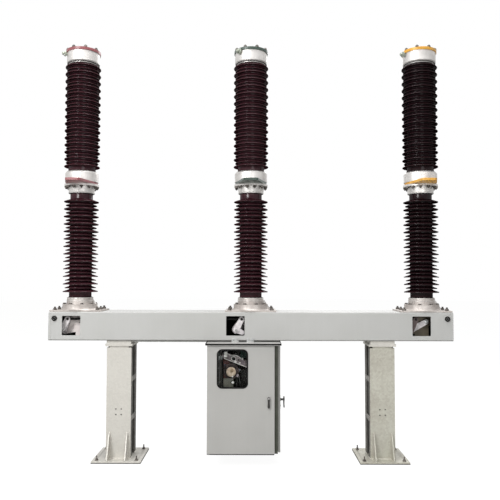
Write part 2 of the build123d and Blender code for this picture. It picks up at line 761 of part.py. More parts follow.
def make_doors():
    """Both doors with their glass, handles and hinge pins."""
    hole_r = HINGE_PIN_R + PIN_CLEARANCE
    z_span = (door_bottom, door_top)
    inner_z = (door_bottom + SHEET, door_top - SHEET)
    (front_hinge, side_hinge) = hinge_places()

    x_span = (CABINET_LEFT, front_door_right)
    inner_x = (x_span[0] + SHEET, x_span[1] - SHEET)
    hollow = block(inner_x, (CABINET_FRONT + SHEET, door_back_y), inner_z)
    door = block(x_span, (CABINET_FRONT, door_back_y), z_span) - hollow
    face_y = (CABINET_FRONT, CABINET_FRONT + SHEET)
    glass_x = CABINET_LEFT + GLASS_LEFT + GLASS_WIDTH / 2
    glass_z = door_top - GLASS_TOP - GLASS_HEIGHT / 2
    opening = Pos(glass_x, glass_z) * RectangleRounded(GLASS_WIDTH, GLASS_HEIGHT, GLASS_CORNER)
    door -= plate_xz(opening, face_y)
    door -= bar_z(*front_hinge, hole_r, z_span)
    handle_x = front_door_right - HANDLE_EDGE
    pad_x = (handle_x - HANDLE_WIDTH / 2 - 4, handle_x + HANDLE_WIDTH / 2 + 4)
    pad_z = (handle_level - HANDLE_LENGTH - 8, handle_level + HANDLE_WIDTH / 2 + 8)
    door += block(pad_x, (CABINET_FRONT - HANDLE_PAD, CABINET_FRONT), pad_z)
    lever_y = CABINET_FRONT - HANDLE_PAD - SWING_GAP
    stud_y = (lever_y - HANDLE_THICK, CABINET_FRONT)
    door += bar_y(handle_x, handle_level, HANDLE_STUD_R, stud_y)
    save("front_door", door)

    lap = 2 * GLASS_LAP
    pane = RectangleRounded(GLASS_WIDTH + lap, GLASS_HEIGHT + lap, GLASS_CORNER + GLASS_LAP)
    pane_y = (face_y[1], face_y[1] + GLASS_THICK)
    save("door_window", plate_xz(Pos(glass_x, glass_z) * pane, pane_y))

    outline = Pos(handle_x, handle_level) * Circle(HANDLE_WIDTH / 2)
    outline += arm(handle_x, handle_level, HANDLE_LENGTH - HANDLE_WIDTH / 2, -90,
                   HANDLE_WIDTH / 2, HANDLE_WIDTH / 2)
    outline -= Pos(handle_x, handle_level) * Circle(HANDLE_STUD_R + PIN_CLEARANCE)
    save("front_handle", plate_xz(outline, (lever_y - HANDLE_THICK, lever_y)))

    x_span = (cabinet_right - DOOR_THICK, cabinet_right)
    y_span = (side_door_front, CABINET_BACK)
    inner_y = (y_span[0] + SHEET, y_span[1] - SHEET)
    hollow = block((x_span[0], x_span[1] - SHEET), inner_y, inner_z)
    door = block(x_span, y_span, z_span) - hollow
    door -= bar_z(*side_hinge, hole_r, z_span)
    handle_y = side_door_front + SIDE_HANDLE_EDGE
    pad_y = (handle_y - HANDLE_WIDTH / 2 - 4, handle_y + HANDLE_WIDTH / 2 + 4)
    pad_z = (side_handle_level - SIDE_HANDLE_DROP - 8, side_handle_level + SIDE_HANDLE_TIP + 8)
    door += block((cabinet_right, cabinet_right + HANDLE_PAD), pad_y, pad_z)
    stem_x = cabinet_right + HANDLE_PAD + SWING_GAP
    lever_x = (stem_x + SIDE_HANDLE_STAND, stem_x + SIDE_HANDLE_STAND + HANDLE_THICK)
    door += bar_x(handle_y, side_handle_level, HANDLE_STUD_R, (cabinet_right, lever_x[1]))
    save("side_door", door)

    stem_x = (stem_x, lever_x[1])
    handle = block(lever_x, (handle_y - HANDLE_WIDTH / 2, handle_y + HANDLE_WIDTH / 2),
                   (side_handle_level - SIDE_HANDLE_DROP, side_handle_level + SIDE_HANDLE_TIP))
    handle += bar_x(handle_y, side_handle_level, HANDLE_WIDTH / 2, stem_x)
    handle -= bar_x(handle_y, side_handle_level, HANDLE_STUD_R + PIN_CLEARANCE, stem_x)
    save("side_handle", handle)

    pins = []
    for place in (front_hinge, side_hinge):
        pins.append(bar_z(*place, HINGE_PIN_R, (floor_top, floor_top + HINGE_PIN_LENGTH)))
        pins.append(bar_z(*place, HINGE_PIN_R, (door_top - HINGE_PIN_LENGTH, roof_under)))
    save("door_hinge_pins", Compound(children=pins))


# ---- Mechanism ----------------------------------------------------------
def make_mechanism():
    """The spring mechanism's frame, brace and cam, as they show through the window."""
    z_span = (floor_top, mech_top)
    left_x = (mech_left, mech_left + MECH_PLATE)
    right_x = (mech_right - MECH_PLATE, mech_right)
    plate_y = (HOUSING_FRONT_Y, HOUSING_FRONT_Y + MECH_PLATE)
    frame = block(left_x, (MECH_FRONT_Y, MECH_BACK_Y), z_span)
    frame += block(right_x, (MECH_FRONT_Y, MECH_BACK_Y), z_span)
    frame += block((left_x[1], right_x[0]), plate_y, z_span)
    shaft = (rod_back_y + 1, HOUSING_FRONT_Y)
    frame += bar_y(shaft_x("middle"), output_level, OUTPUT_SHAFT_R, shaft)
    cam_x = shaft_x("middle") + CAM_OFFSET
    frame += bar_y(cam_x, cam_level, CAM_SHAFT_R, (MECH_FRONT_Y, HOUSING_FRONT_Y))
    save("mechanism_frame", frame)

    cam = bar_y(cam_x, cam_level, CAM_R, (MECH_FRONT_Y, MECH_FRONT_Y + CAM_THICK))
    plate_back = MECH_FRONT_Y + CAM_THICK + CAM_THICK / 2
    cam += bar_y(cam_x, cam_level, CAM_PLATE_R, (MECH_FRONT_Y + CAM_THICK, plate_back))
    cam -= bar_y(cam_x, cam_level, CAM_SHAFT_R + SEAT_CLEARANCE, (MECH_FRONT_Y, plate_back))
    save("mechanism_cam", cam)

    brace_back = rod_front_y - SWING_GAP
    brace_y = (brace_back - BRACE_THICK, brace_back)
    reach = BRACE_SPAN * (right_x[0] - left_x[1])
    start = (left_x[1] + BRACE_WIDTH / 2, output_level + BRACE_RISE)
    end = (left_x[1] + reach, output_level - BRACE_DROP)
    half = BRACE_WIDTH / 2
    length = ((end[0] - start[0]) ** 2 + (end[1] - start[1]) ** 2) ** 0.5
    nx = (start[1] - end[1]) / length * half
    nz = (end[0] - start[0]) / length * half
    outline = make_face(Polyline(
        (start[0] + nx, start[1] + nz), (start[0] - nx, start[1] - nz),
        (end[0] - nx, end[1] - nz), (end[0] + nx, end[1] + nz), close=True))
    outline += Pos(*start) * Circle(half)
    outline += Pos(*end) * Circle(half)
    brace = plate_xz(outline, brace_y)
    for x, z in (start, end):
        brace += bar_y(x, z, BRACE_POST_R, (brace_back, HOUSING_FRONT_Y))
    save("mechanism_brace", brace)


def main():
    """Build every sub-part."""
    os.makedirs("parts", exist_ok=True)
    make_support()
    make_beam()
    make_poles()
    make_linkage()
    make_cabinet_shell()
    make_doors()
    make_mechanism()


main()
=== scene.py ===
"""Looks of a three-pole gas insulated circuit breaker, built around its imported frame.

Sizes are in millimetres in the frame's own axes: +X to the right-hand pole, +Y to the
rear, +Z up. Positions are read from the frame's nodes.
"""

import logging
from collections.abc import Callable, Iterable, Sequence
from dataclasses import dataclass, field
from enum import Enum
from math import acos, atan2, cos, degrees, hypot, pi, radians, sin
from typing import Any

import bmesh
import bpy
from mathutils import Matrix, Vector


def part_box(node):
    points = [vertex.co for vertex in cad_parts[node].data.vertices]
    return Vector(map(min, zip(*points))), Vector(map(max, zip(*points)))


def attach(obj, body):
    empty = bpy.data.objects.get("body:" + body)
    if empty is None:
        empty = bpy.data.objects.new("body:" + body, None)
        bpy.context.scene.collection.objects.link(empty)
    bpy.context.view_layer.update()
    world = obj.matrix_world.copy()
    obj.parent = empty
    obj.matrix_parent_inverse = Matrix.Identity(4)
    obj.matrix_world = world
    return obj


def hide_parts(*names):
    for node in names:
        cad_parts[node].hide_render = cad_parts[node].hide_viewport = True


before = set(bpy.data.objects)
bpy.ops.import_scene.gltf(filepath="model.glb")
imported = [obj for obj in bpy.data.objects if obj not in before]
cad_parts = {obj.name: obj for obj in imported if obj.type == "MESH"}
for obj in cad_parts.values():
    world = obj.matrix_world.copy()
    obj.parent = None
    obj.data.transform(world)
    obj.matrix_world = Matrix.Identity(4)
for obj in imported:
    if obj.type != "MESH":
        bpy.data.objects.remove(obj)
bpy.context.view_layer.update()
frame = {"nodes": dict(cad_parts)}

MM = 0.001
SHARP_ANGLE = radians(35)
Point2 = tuple[float, float]
Point3 = tuple[float, float, float]
Triple = Sequence[float]
Tree = bpy.types.NodeTree
Node = bpy.types.Node
Socket = bpy.types.NodeSocket
Item = bpy.types.Object
UP: Point3 = (0.0, 0.0, 1.0)
DOWN: Point3 = (0.0, 0.0, -1.0)
FORWARD: Point3 = (0.0, -1.0, 0.0)
BACKWARD: Point3 = (0.0, 1.0, 0.0)
LEFT: Point3 = (-1.0, 0.0, 0.0)
RIGHT: Point3 = (1.0, 0.0, 0.0)

log = logging.getLogger("breaker")


# ---- Names ---------------------------------------------------------------
class Body(Enum):
    """The bodies that pieces ride on."""

    FRAME = "frame"
    LEVER_LEFT = "lever_left"
    LEVER_MIDDLE = "lever_middle"
    LEVER_RIGHT = "lever_right"
    PHASE_LINK = "phase_link"
    DRIVE_LINK = "drive_link"
    OUTPUT_ARM = "output_arm"
    FRONT_DOOR = "front_door_leaf"
    FRONT_LOCK = "front_lock"
    SIDE_DOOR = "side_door_leaf"
    SIDE_LOCK = "side_lock"


class Slot(Enum):
    """The record's material slots."""

    BEAM_PAINT = "beam_paint"
    CABINET_PAINT = "cabinet_paint"
    GALVANISED = "galvanised_steel"
    CASTING = "cast_aluminium"
    PORCELAIN = "brown_porcelain"
    RED = "phase_red"
    GREEN = "phase_green"
    YELLOW = "phase_yellow"
    ZINC = "zinc_steel"
    DARK = "dark_steel"
    HANDLE = "handle_metal"
    BRONZE = "bronze"


class Axis(Enum):
    """The axis that an outline is drawn out along, and how its points are placed."""

    X = 0
    Y = 1
    Z = 2

    def place(self, point: Point2, along: float) -> Point3:
        """Gives the frame's point for an outline's point at a height along the axis."""
        a, b = point
        return ((along, a, b), (a, along, b), (a, b, along))[self.value]


# ---- Finishes ------------------------------------------------------------
def linear(code: str) -> tuple[float, float, float, float]:
    """Turns an sRGB hex colour into linear light.

    Args:
        code: The colour as six hex digits after a hash.

    Returns:
        Red, green, blue and a full alpha.
    """
    parts = (int(code[i : i + 2], 16) / 255 for i in (1, 3, 5))
    r, g, b = (p / 12.92 if p <= 0.04045 else ((p + 0.055) / 1.055) ** 2.4 for p in parts)
    return r, g, b, 1.0


def per_metre(size: float) -> float:
    """Gives a texture's scale for a pattern of a size in millimetres."""
    return 1000.0 / size


def add(tree: Tree, kind: str, **settings: Any) -> Node:
    """Adds one shader node with its settings and links.

    Args:
        tree: The tree of a material, a lamp or the world.
        kind: The node's type, less the word ShaderNode before it.
        settings: A property by its own name, or an input by its name or identifier,
            written with an underscore for each space. A socket is linked, a node is
            linked by its first output, and anything else is set.

    Returns:
        The new node.
    """
    node = tree.nodes.new(f"ShaderNode{kind}")
    inputs: dict[str, Socket] = {}
    for socket in node.inputs:
        inputs.setdefault(socket.name.replace(" ", "_"), socket)
    inputs |= {socket.identifier.replace(" ", "_"): socket for socket in node.inputs}
    for key, value in settings.items():
        if isinstance(value, Node):
            value = value.outputs[0]
        if key[0].islower():
            setattr(node, key, value)
        elif isinstance(value, Socket):
            tree.links.new(value, inputs[key])
        else:
            inputs[key].default_value = value
    return node


@dataclass(frozen=True)
class Finish:
    """A surface finish: one shader, with the real surface's grain from its nodes.

    Its pattern runs from the first colour to the second over span, the second is
    rougher by dull, fine_share is the weight of a second, finer pattern, and depth is
    the relief in millimetres.
    """

    name: str
    colour: str
    second: str
    roughness: float
    metallic: float = 0.0
    ior: float = 1.5
    span: Point2 = (0.4, 0.8)
    dull: float = 0.1
    fine_share: float = 0.5
    depth: float = 0.1

    def material(self) -> bpy.types.Material:
        """Gives the finish's material, made the first time that it is asked for.

        Returns:
            The material.
        """
        made = bpy.data.materials.get(self.name)
        if made is None:
            made = bpy.data.materials.new(self.name)
            made.use_nodes = True
            tree = made.node_tree
            tree.nodes.clear()
            shader = add(
                tree, "BsdfPrincipled", Base_Color=linear(self.colour),
                Metallic=self.metallic, Roughness=self.roughness, IOR=self.ior,
            )
            place = add(tree, "TexCoord").outputs["Object"]
            add(tree, "OutputMaterial", Surface=self.grain(tree, shader, place))
        return made

    def grain(self, tree: Tree, shader: Node, place: Socket) -> Node:
        """Adds the finish's own pattern to its shader.

        Args:
            tree: The material's nodes.
            shader: The Principled node.
            place: The point on the piece, in metres.

        Returns:
            The node that the material shows.
        """
        raise NotImplementedError

    def blend(
        self, tree: Tree, shader: Node, pattern: Node | Socket, fine: Node | None = None
    ) -> None:
        """Drives the colour from the first to the second and the roughness with it.

        Args:
            tree: The material's nodes.
            shader: The Principled node.
            pattern: What the colour follows.
            fine: A finer pattern that is added to it, if any.
        """
        if fine is not None:
            pattern = add(
                tree, "Math", operation="MULTIPLY_ADD", Value=fine,
                Value_001=self.fine_share, Value_002=pattern,
            )
        low, high = self.span
        share = add(tree, "MapRange", Value=pattern, From_Min=low, From_Max=high)
        mix = add(
            tree, "Mix", data_type="RGBA", Factor_Float=share,
            A_Color=linear(self.colour), B_Color=linear(self.second),
        )
        tree.links.new(mix.outputs[2], shader.inputs["Base Color"])
        self.roughen(tree, shader, share)

    def roughen(self, tree: Tree, shader: Node, share: Node) -> None:
        """Makes the surface rougher where a pattern is high.

        Args:
            tree: The material's nodes.
            shader: The Principled node.
            share: The pattern, from 0 to 1.
        """
        high = self.roughness + self.dull
        spread = add(tree, "MapRange", Value=share, To_Min=self.roughness, To_Max=high)
        tree.links.new(spread.outputs[0], shader.inputs["Roughness"])

    def bump(self, tree: Tree, shader: Node, height: Node) -> None:
        """Lets a height pattern from 0 to 1 tilt the surface."""
        relief = add(tree, "Bump", Height=height, Distance=self.depth * MM)
        tree.links.new(relief.outputs[0], shader.inputs["Normal"])


@dataclass(frozen=True)
class StovedPolyester(Finish):
    """Polyester powder, sprayed and stoved: an even satin coat with a fine orange peel."""

    span: Point2 = (0.4, 0.85)
    dull: float = 0.08
    fine_share: float = 0.2
    depth: float = 0.07
    peel: float = 4.0
    patch: float = 420.0
    run: float = 26.0

    def grain(self, tree: Tree, shader: Node, place: Socket) -> Node:
        """Adds weathering patches, faint rain runs and the orange peel."""
        patches = add(tree, "TexNoise", Vector=place, Scale=per_metre(self.patch), Detail=3.0)
        wide, long = per_metre(self.run), per_metre(self.patch * 2)
        drawn = add(tree, "Mapping", Vector=place, Scale=(wide, wide, long))
        runs = add(tree, "TexNoise", Vector=drawn, Scale=1.0, Detail=2.0)
        self.blend(tree, shader, patches, runs)
        peel = add(tree, "TexNoise", Vector=place, Scale=per_metre(self.peel), Detail=1.0)
        self.bump(tree, shader, peel)
        return shader


@dataclass(frozen=True)
class HotDipZinc(Finish):
    """Steel dipped in molten zinc: grey crystals of 10 to 20 mm, each a little apart in tone."""

    span: Point2 = (0.4, 0.95)
    dull: float = 0.16
    fine_share: float = 0.35
    depth: float = 0.3
    spangle: float = 17.0
    stain: float = 160.0
    warp: float = 0.01

    def grain(self, tree: Tree, shader: Node, place: Socket) -> Node:
        """Adds the spangle's crystals and the cloudy runs of the bath."""
        warp = add(tree, "TexNoise", Vector=place, Scale=per_metre(self.spangle * 0.7))
        bent = add(
            tree, "Mix", data_type="VECTOR", Factor_Float=self.warp, A_Vector=place,
            B_Vector=warp.outputs["Color"],
        )
        size = per_metre(self.spangle)
        crystal = add(tree, "TexVoronoi", Vector=bent.outputs[1], Scale=size)
        tone = add(tree, "SeparateColor", Color=crystal.outputs["Color"])
        cloud = add(tree, "TexNoise", Vector=place, Scale=per_metre(self.stain), Detail=5.0)
        self.blend(tree, shader, cloud, tone)
        self.bump(tree, shader, cloud)
        return shader


@dataclass(frozen=True)
class SandCasting(Finish):
    """Metal poured in a sand mould and shot blasted: a soft sheen over a 2 mm grain.

    The grain is drawn coarser than it is, so that it shows.
    """

    span: Point2 = (0.5, 1.0)
    dull: float = 0.15
    depth: float = 0.35
    grit: float = 3.0
    patch: float = 70.0

    def grain(self, tree: Tree, shader: Node, place: Socket) -> Node:
        """Adds the mould's grain and its patches."""
        grit = add(tree, "TexNoise", Vector=place, Scale=per_metre(self.grit), Detail=3.0)
        patch = add(tree, "TexNoise", Vector=place, Scale=per_metre(self.patch), Detail=4.0)
        self.blend(tree, shader, patch, grit)
        self.bump(tree, shader, grit)
        return shader


@dataclass(frozen=True)
class BrownGlaze(Finish):
    """Porcelain dipped in brown glaze and fired: deep gloss, thinner and redder on the rims."""

    span: Point2 = (0.52, 0.6)
    dull: float = 0.06
    depth: float = 0.6
    ripple: float = 22.0
    sheen: float = 0.5
    fade: Point2 = (0.3, 0.75)

    def grain(self, tree: Tree, shader: Node, place: Socket) -> Node:
        """Adds the thin glaze on the rims, the ripple of the coat and painted shade on its
        silhouette, where the reflection fades out.
        """
        # Painted shade: the glaze's reflection fades out toward the silhouette, so that its edges
        # stay dark.
        facing = add(tree, "LayerWeight", Blend=0.5).outputs["Facing"]
        silhouette_shade = add(
            tree, "MapRange", Value=facing, From_Min=self.fade[0], From_Max=self.fade[1],
            To_Min=self.sheen, To_Max=0.0,
        )
        tree.links.new(silhouette_shade.outputs[0], shader.inputs["Specular IOR Level"])
        self.blend(tree, shader, add(tree, "NewGeometry").outputs["Pointiness"])
        ripple = add(tree, "TexNoise", Vector=place, Scale=per_metre(self.ripple), Detail=1.0)
        self.bump(tree, shader, ripple)
        return shader


@dataclass(frozen=True)
class BrushedEnamel(Finish):
    """Alkyd enamel laid on by brush: gloss, with faint bristle lines and thinner strokes."""

    span: Point2 = (0.4, 0.75)
    depth: float = 0.12
    bristle: float = 2.5
    stroke: float = 90.0

    def grain(self, tree: Tree, shader: Node, place: Socket) -> Node:
        """Adds the strokes and their bristle lines."""
        wide, fine = per_metre(self.stroke), per_metre(self.bristle)
        drawn = add(tree, "Mapping", Vector=place, Scale=(wide, fine, fine))
        lines = add(tree, "TexNoise", Vector=drawn, Scale=1.0, Detail=2.0)
        cover = add(tree, "TexNoise", Vector=place, Scale=wide, Detail=3.0)
        self.blend(tree, shader, cover)
        self.bump(tree, shader, lines)
        return shader


@dataclass(frozen=True)
class WorkedMetal(Finish):
    """Metal that was machined or plated: fine tool lines and a soft change of tone."""

    span: Point2 = (0.35, 0.7)
    dull: float = 0.15
    depth: float = 0.03
    line: float = 1.6
    patch: float = 30.0

    def grain(self, tree: Tree, shader: Node, place: Socket) -> Node:
        """Adds the tool lines and the change of tone from handling."""
        fine, long = per_metre(self.line), per_metre(self.line * 8)
        drawn = add(tree, "Mapping", Vector=place, Scale=(fine, long, fine))
        lines = add(tree, "TexNoise", Vector=drawn, Scale=1.0, Detail=2.0)
        patch = add(tree, "TexNoise", Vector=place, Scale=per_metre(self.patch), Detail=3.0)
        self.blend(tree, shader, patch)
        self.bump(tree, shader, lines)
        return shader


@dataclass(frozen=True)
class MouldedPolymer(Finish):
    """Rubber or plastic from a mould, or a filled compound: dull, with a fine even grain."""

    depth: float = 0.08
    texture: float = 1.5
    sheen: float = 0.5
    dust: float = 60.0

    def grain(self, tree: Tree, shader: Node, place: Socket) -> Node:
        """Adds the mould's grain and a little dust."""
        shader.inputs["Specular IOR Level"].default_value = self.sheen
        grain = add(tree, "TexNoise", Vector=place, Scale=per_metre(self.texture), Detail=2.0)
        dust = add(tree, "TexNoise", Vector=place, Scale=per_metre(self.dust), Detail=4.0)
        self.blend(tree, shader, dust)
        self.bump(tree, shader, grain)
        return shader


@dataclass(frozen=True)
class ClearSheet(Finish):
    """Clear acrylic sheet: nearly invisible, with a film of dust. Lamps shine through it."""

    dull: float = 0.03
    film: float = 45.0
    tint: str = "#f2f5f3"

    def grain(self, tree: Tree, shader: Node, place: Socket) -> Node:
        """Makes the sheet see-through and lets the lamps light what is behind it."""
        shader.inputs["Transmission Weight"].default_value = 1.0
        film = add(tree, "TexNoise", Vector=place, Scale=per_metre(self.film), Detail=4.0)
        self.roughen(tree, shader, film)
        lamp = add(tree, "LightPath").outputs["Is Shadow Ray"]
        gap = add(tree, "BsdfTransparent", Color=linear(self.tint))
        return add(tree, "MixShader", Fac=lamp, Shader=shader, Shader_001=gap)


# Light grey polyester on the beam: even and satin, a little chalky after rain.
BEAM_COAT = StovedPolyester("polyester_light_grey", "#b3b3b1", "#adadaa", 0.42)
# The same powder in a warmer grey on the cabinet's thin sheet.
CABINET_COAT = StovedPolyester("polyester_warm_grey", "#a9a8a5", "#a2a19e", 0.4)
# Zinc straight from the bath: pale warm grey crystals with a dull shine.
ZINC_BATH = HotDipZinc("steel_hot_dip_galvanised", "#cbc8c1", "#c1beb7", 0.42, 0.4)
# Painted shade on the zinc: the channels' sides and inner faces, which stand in shadow, drawn a
# dull dark grey.
ZINC_PAINTED_SHADE = HotDipZinc("steel_galvanised_dull", "#6d6b67", "#595753", 0.6, 0.1)
# The second leg's zinc: clouded and a shade greener, and darker as painted shade for a leg that
# gets less light.
ZINC_GREEN_SHADED = HotDipZinc("steel_galvanised_clouded", "#bdbcb0", "#a8a398", 0.42, 0.35, stain=260.0)
# Battens between the channels: a mid grey zinc, darker than the channels.
ZINC_MID_GREY = HotDipZinc("steel_galvanised_aged", "#908e8a", "#7f7d79", 0.55, 0.2)
# Blasted aluminium castings: nearly white where the light falls, grey in the grain.
CASTING = SandCasting("aluminium_sand_cast", "#dbd8d5", "#bdbab7", 0.38, 0.7)
# Foot castings, years under the drip of the porcelains: greyer, faintly pink.
FOOT_CASTING = SandCasting("aluminium_cast_weathered", "#c6c0bb", "#a29a95", 0.42, 0.6)
# The crank cases, cast in the same metal and left dull: a matt, faintly pink white.
CRANK_CASE = SandCasting("aluminium_cast_matt", "#fdf5f2", "#e3d8d4", 0.6)
# Cast levers, left rougher than the housings, and drawn near white: painted light, as the levers
# sit in the beam's shade.
LEVER_IRON = SandCasting("iron_cast_zinc_sprayed", "#f8f4f4", "#b3acae", 0.5, 0.05, grit=6.0)
# The same iron, dark brown and half dull, on the right pole's lever.
IRON_DARK_BROWN = SandCasting("iron_cast_greased", "#6a5a58", "#453a39", 0.5, 0.1, grit=6.0)
# Brown porcelain: almost black with a plum cast, bright only where a lamp is mirrored.
GLAZE = BrownGlaze("porcelain_brown_glazed", "#33191f", "#452a2d", 0.17, sheen=0.18)
# The right pole's porcelains: the same glaze made darker as painted shade, for a pole that the
# light barely reaches.
GLAZE_PAINTED_SHADE = BrownGlaze("porcelain_brown_dark", "#1c0d11", "#2b191a", 0.17, sheen=0.14)
# The three phase colours, brushed on the terminal plates.
PHASE_RED = BrushedEnamel("enamel_phase_red", "#8c5053", "#7a4346", 0.32)
PHASE_GREEN = BrushedEnamel("enamel_phase_green", "#3c4a42", "#334039", 0.32)
PHASE_YELLOW = BrushedEnamel("enamel_phase_yellow", "#dba53f", "#c48c2e", 0.32)
# Bright zinc plating on bolts and nuts: cool grey with a soft mirror.
BOLT_ZINC = WorkedMetal("steel_zinc_plated", "#c9cbcc", "#9b9c99", 0.28, 1.0)
# Zinc plating after years outdoors: dull, with a brown-grey bloom in the threads, and darker still
# as painted shade for nuts that sit in shadow.
BOLT_WEATHERED_SHADED = WorkedMetal("steel_zinc_plated_weathered", "#77716c", "#4c4845", 0.42, 0.6)
# Blacked steel pins and springs: nearly black, with an oily sheen.
BLACKED = WorkedMetal("steel_blacked", "#2b2a29", "#1a1918", 0.35, 0.8)
# Handles of die-cast zinc in black nickel: dark, with a bright edge where it turns.
BLACK_NICKEL = WorkedMetal("zinc_die_cast_black_nickel", "#3c3a39", "#2d2b2a", 0.28, 0.5)
# Turned bronze: a warm tan face.
BRONZE = WorkedMetal("bronze_turned", "#cdb9a6", "#a28d79", 0.35, 0.4, patch=24.0)
# Aged bronze of the filling ports: grey-green and dull.
GREEN_BRONZE = WorkedMetal("bronze_weathered", "#b0b5a8", "#8f9588", 0.45, 0.5)
# Red lead primer on the spring gear: dull maroon.
PRIMER = MouldedPolymer("steel_red_primer", "#4a211c", "#381a17", 0.55)
# The same primer under a film of oil on the cam: nearly black.
OILED_PRIMER = MouldedPolymer("steel_red_primer_oiled", "#2e1816", "#1d1210", 0.5)
# Phosphated plates of the spring gear: dull near-black.
PHOSPHATE = MouldedPolymer("steel_phosphated", "#242321", "#1b1a19", 0.6, 1.0, sheen=0.2)
# Grey iron castings of the spring gear, oiled dark with a mauve cast.
DARK_CASTING = SandCasting("iron_cast_oiled", "#8c8182", "#4e4647", 0.4, 0.2, grit=5.0)
# Ground and polished steel of the pins and edges, drawn near white as painted highlights: the
# brightest points of the gear.
STEEL_PAINTED_GLINT = WorkedMetal("steel_ground", "#f6f2f0", "#e2dddb", 0.25, 0.1)
# Blued spring steel levers.
STEEL_BLUED = WorkedMetal("steel_blued", "#5c5e68", "#44464f", 0.35, 0.8)
# Bronze under an old film of oil.
OILED_BRONZE = WorkedMetal("bronze_oiled", "#8f7a62", "#6f5d49", 0.3, 0.4)
# Grey-green shop enamel on the damper's plate.
GREEN_GREY = BrushedEnamel("enamel_grey_green", "#77756a", "#63625a", 0.4)
# Painted shade inside the beam: its inner faces are dark, as the inside is seen only in shadow
# through the windows.
INNER_PAINTED_SHADE = MouldedPolymer("primer_wash_dark", "#23241f", "#191a17", 0.7, 1.0, sheen=0.2)
# The right pole's crank case: the same casting in a dark olive brown, painted shade for the dim
# inside of the right window.
CASE_PAINTED_SHADE = SandCasting("aluminium_cast_oiled", "#7a705f", "#5d5547", 0.5, 0.2, grit=5.0)
# The extruded moulding in the cabinet's corner groove: a dark olive rubber.
CORNER_RUBBER = MouldedPolymer("rubber_extruded_olive", "#4f5149", "#45473f", 0.6, sheen=0.2)
# Window and door seals: matt black rubber.
RUBBER = MouldedPolymer("rubber_moulded_black", "#0c0c0c", "#141313", 0.6, sheen=0.15)
# Bitumen over the cement joints: a dull dark line. The same dark serves as painted shade under the
# top housings and under the leg plates.
BITUMEN_AND_PAINTED_SHADE = MouldedPolymer("bitumen_poured", "#161212", "#211d1c", 0.5, texture=5.0, sheen=0.2)
# Painted shade along the beam's lower fold: a dull grey line where the fold turns into shadow.
FOLD_PAINTED_SHADE = MouldedPolymer("sealant_polyurethane_grey", "#5d5c59", "#52514e", 0.6, sheen=0.2)
# Weld metal under the zinc, drawn brighter than the plates it joins: a painted highlight along the
# gusset and channel edges.
WELD = SandCasting("weld_bead_galvanised", "#e2dfd8", "#bcb8b0", 0.35, 0.7, grit=4.0)
# Moulded cases of the relays and the terminal blocks.
CASE_GREY = MouldedPolymer("polyamide_moulded_grey", "#8e9190", "#7c7f7e", 0.5)
CASE_CREAM = MouldedPolymer("polycarbonate_moulded_cream", "#d8d4c6", "#c9c4b4", 0.45)
CASE_MAUVE = MouldedPolymer("phenolic_moulded_mauve", "#8a7f84", "#75696f", 0.45)
CASE_GREEN = MouldedPolymer("phenolic_moulded_green", "#14332a", "#0e221c", 0.5, sheen=0.2)
# Cable sheaths: soft black and dull blue plastic.
SHEATH_BLACK = MouldedPolymer("vinyl_sheath_black", "#19191a", "#242424", 0.45)
SHEATH_BLUE = MouldedPolymer("vinyl_sheath_blue", "#2c4669", "#25395a", 0.45)
# The door's window: 5 mm acrylic, which mirrors little when seen head on.
PANE = ClearSheet("acrylic_sheet_clear", "#f4f6f5", "#f4f6f5", 0.0, ior=1.12)


# ---- Places and shapes ---------------------------------------------------
@dataclass(frozen=True)
class Box:
    """The corners of a node at rest, in millimetres."""

    low: Vector
    high: Vector

    @classmethod
    def of(cls, node: str) -> "Box":
        """Reads a node's box from the frame."""
        low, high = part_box(node)
        return cls(low / MM, high / MM)

    @property
    def centre(self) -> Vector:
        """The middle of the box."""
        return (self.low + self.high) / 2

    @property
    def size(self) -> Vector:
        """The box's three lengths."""
        return self.high - self.low


def rounded(centre: Point2, size: Point2, radius: float, steps: int = 7) -> list[Point2]:
    """Draws a rectangle with round corners.

    Args:
        centre: Its middle.
        size: Its width and height.
        radius: The corners' radius.
        steps: Points on each corner.

    Returns:
        The outline's points, counter-clockwise.
    """
    points: list[Point2] = []
    corners = ((1, 1), (-1, 1), (-1, -1), (1, -1))
    for index, (side, level) in enumerate(corners):
        x = centre[0] + side * (size[0] / 2 - radius)
        y = centre[1] + level * (size[1] / 2 - radius)
        for step in range(steps):
            angle = pi / 2 * (index + step / (steps - 1))
            points.append((x + radius * cos(angle), y + radius * sin(angle)))
    return points


def polar(centre: Point2, radius: float, angle: float) -> Point2:
    """Gives the point at a distance and an angle in degrees from a centre."""
    return centre[0] + radius * cos(radians(angle)), centre[1] + radius * sin(radians(angle))


def plug(radius: float, far: float, near: float = 0.0) -> list[Point2]:
    """Gives the profile of a plain round plug between two heights."""
    return [(0, near), (radius, near), (radius, far), (0, far)]


def strap(first: Point2, second: Point2, radii: Point2, steps: int = 14) -> list[Point2]:
    """Draws the outline that wraps two circles, as a lever's cheek does.

    Args:
        first: The first circle's centre.
        second: The second circle's centre.
        radii: Their radii.
        steps: Sides on each round end.

    Returns:
        The outline's points, counter-clockwise.
    """
    run = (second[0] - first[0], second[1] - first[1])
    along = degrees(atan2(run[1], run[0]))
    lean = degrees(acos((radii[0] - radii[1]) / hypot(*run)))
    points: list[Point2] = []
    for centre, radius, start, turn in (
        (first, radii[0], along + lean, 360 - 2 * lean),
        (second, radii[1], along - lean, 2 * lean),
    ):
        for step in range(steps + 1):
            points.append(polar(centre, radius, start + turn * step / steps))
    return points


def show(name: str, data: bpy.types.ID) -> Item:
    """Puts a new object into the scene.

    Args:
        name: Its name.
        data: Its mesh, lamp or camera.

    Returns:
        The object.
    """
    made = bpy.data.objects.new(name, data)
    bpy.context.scene.collection.objects.link(made)
    return made


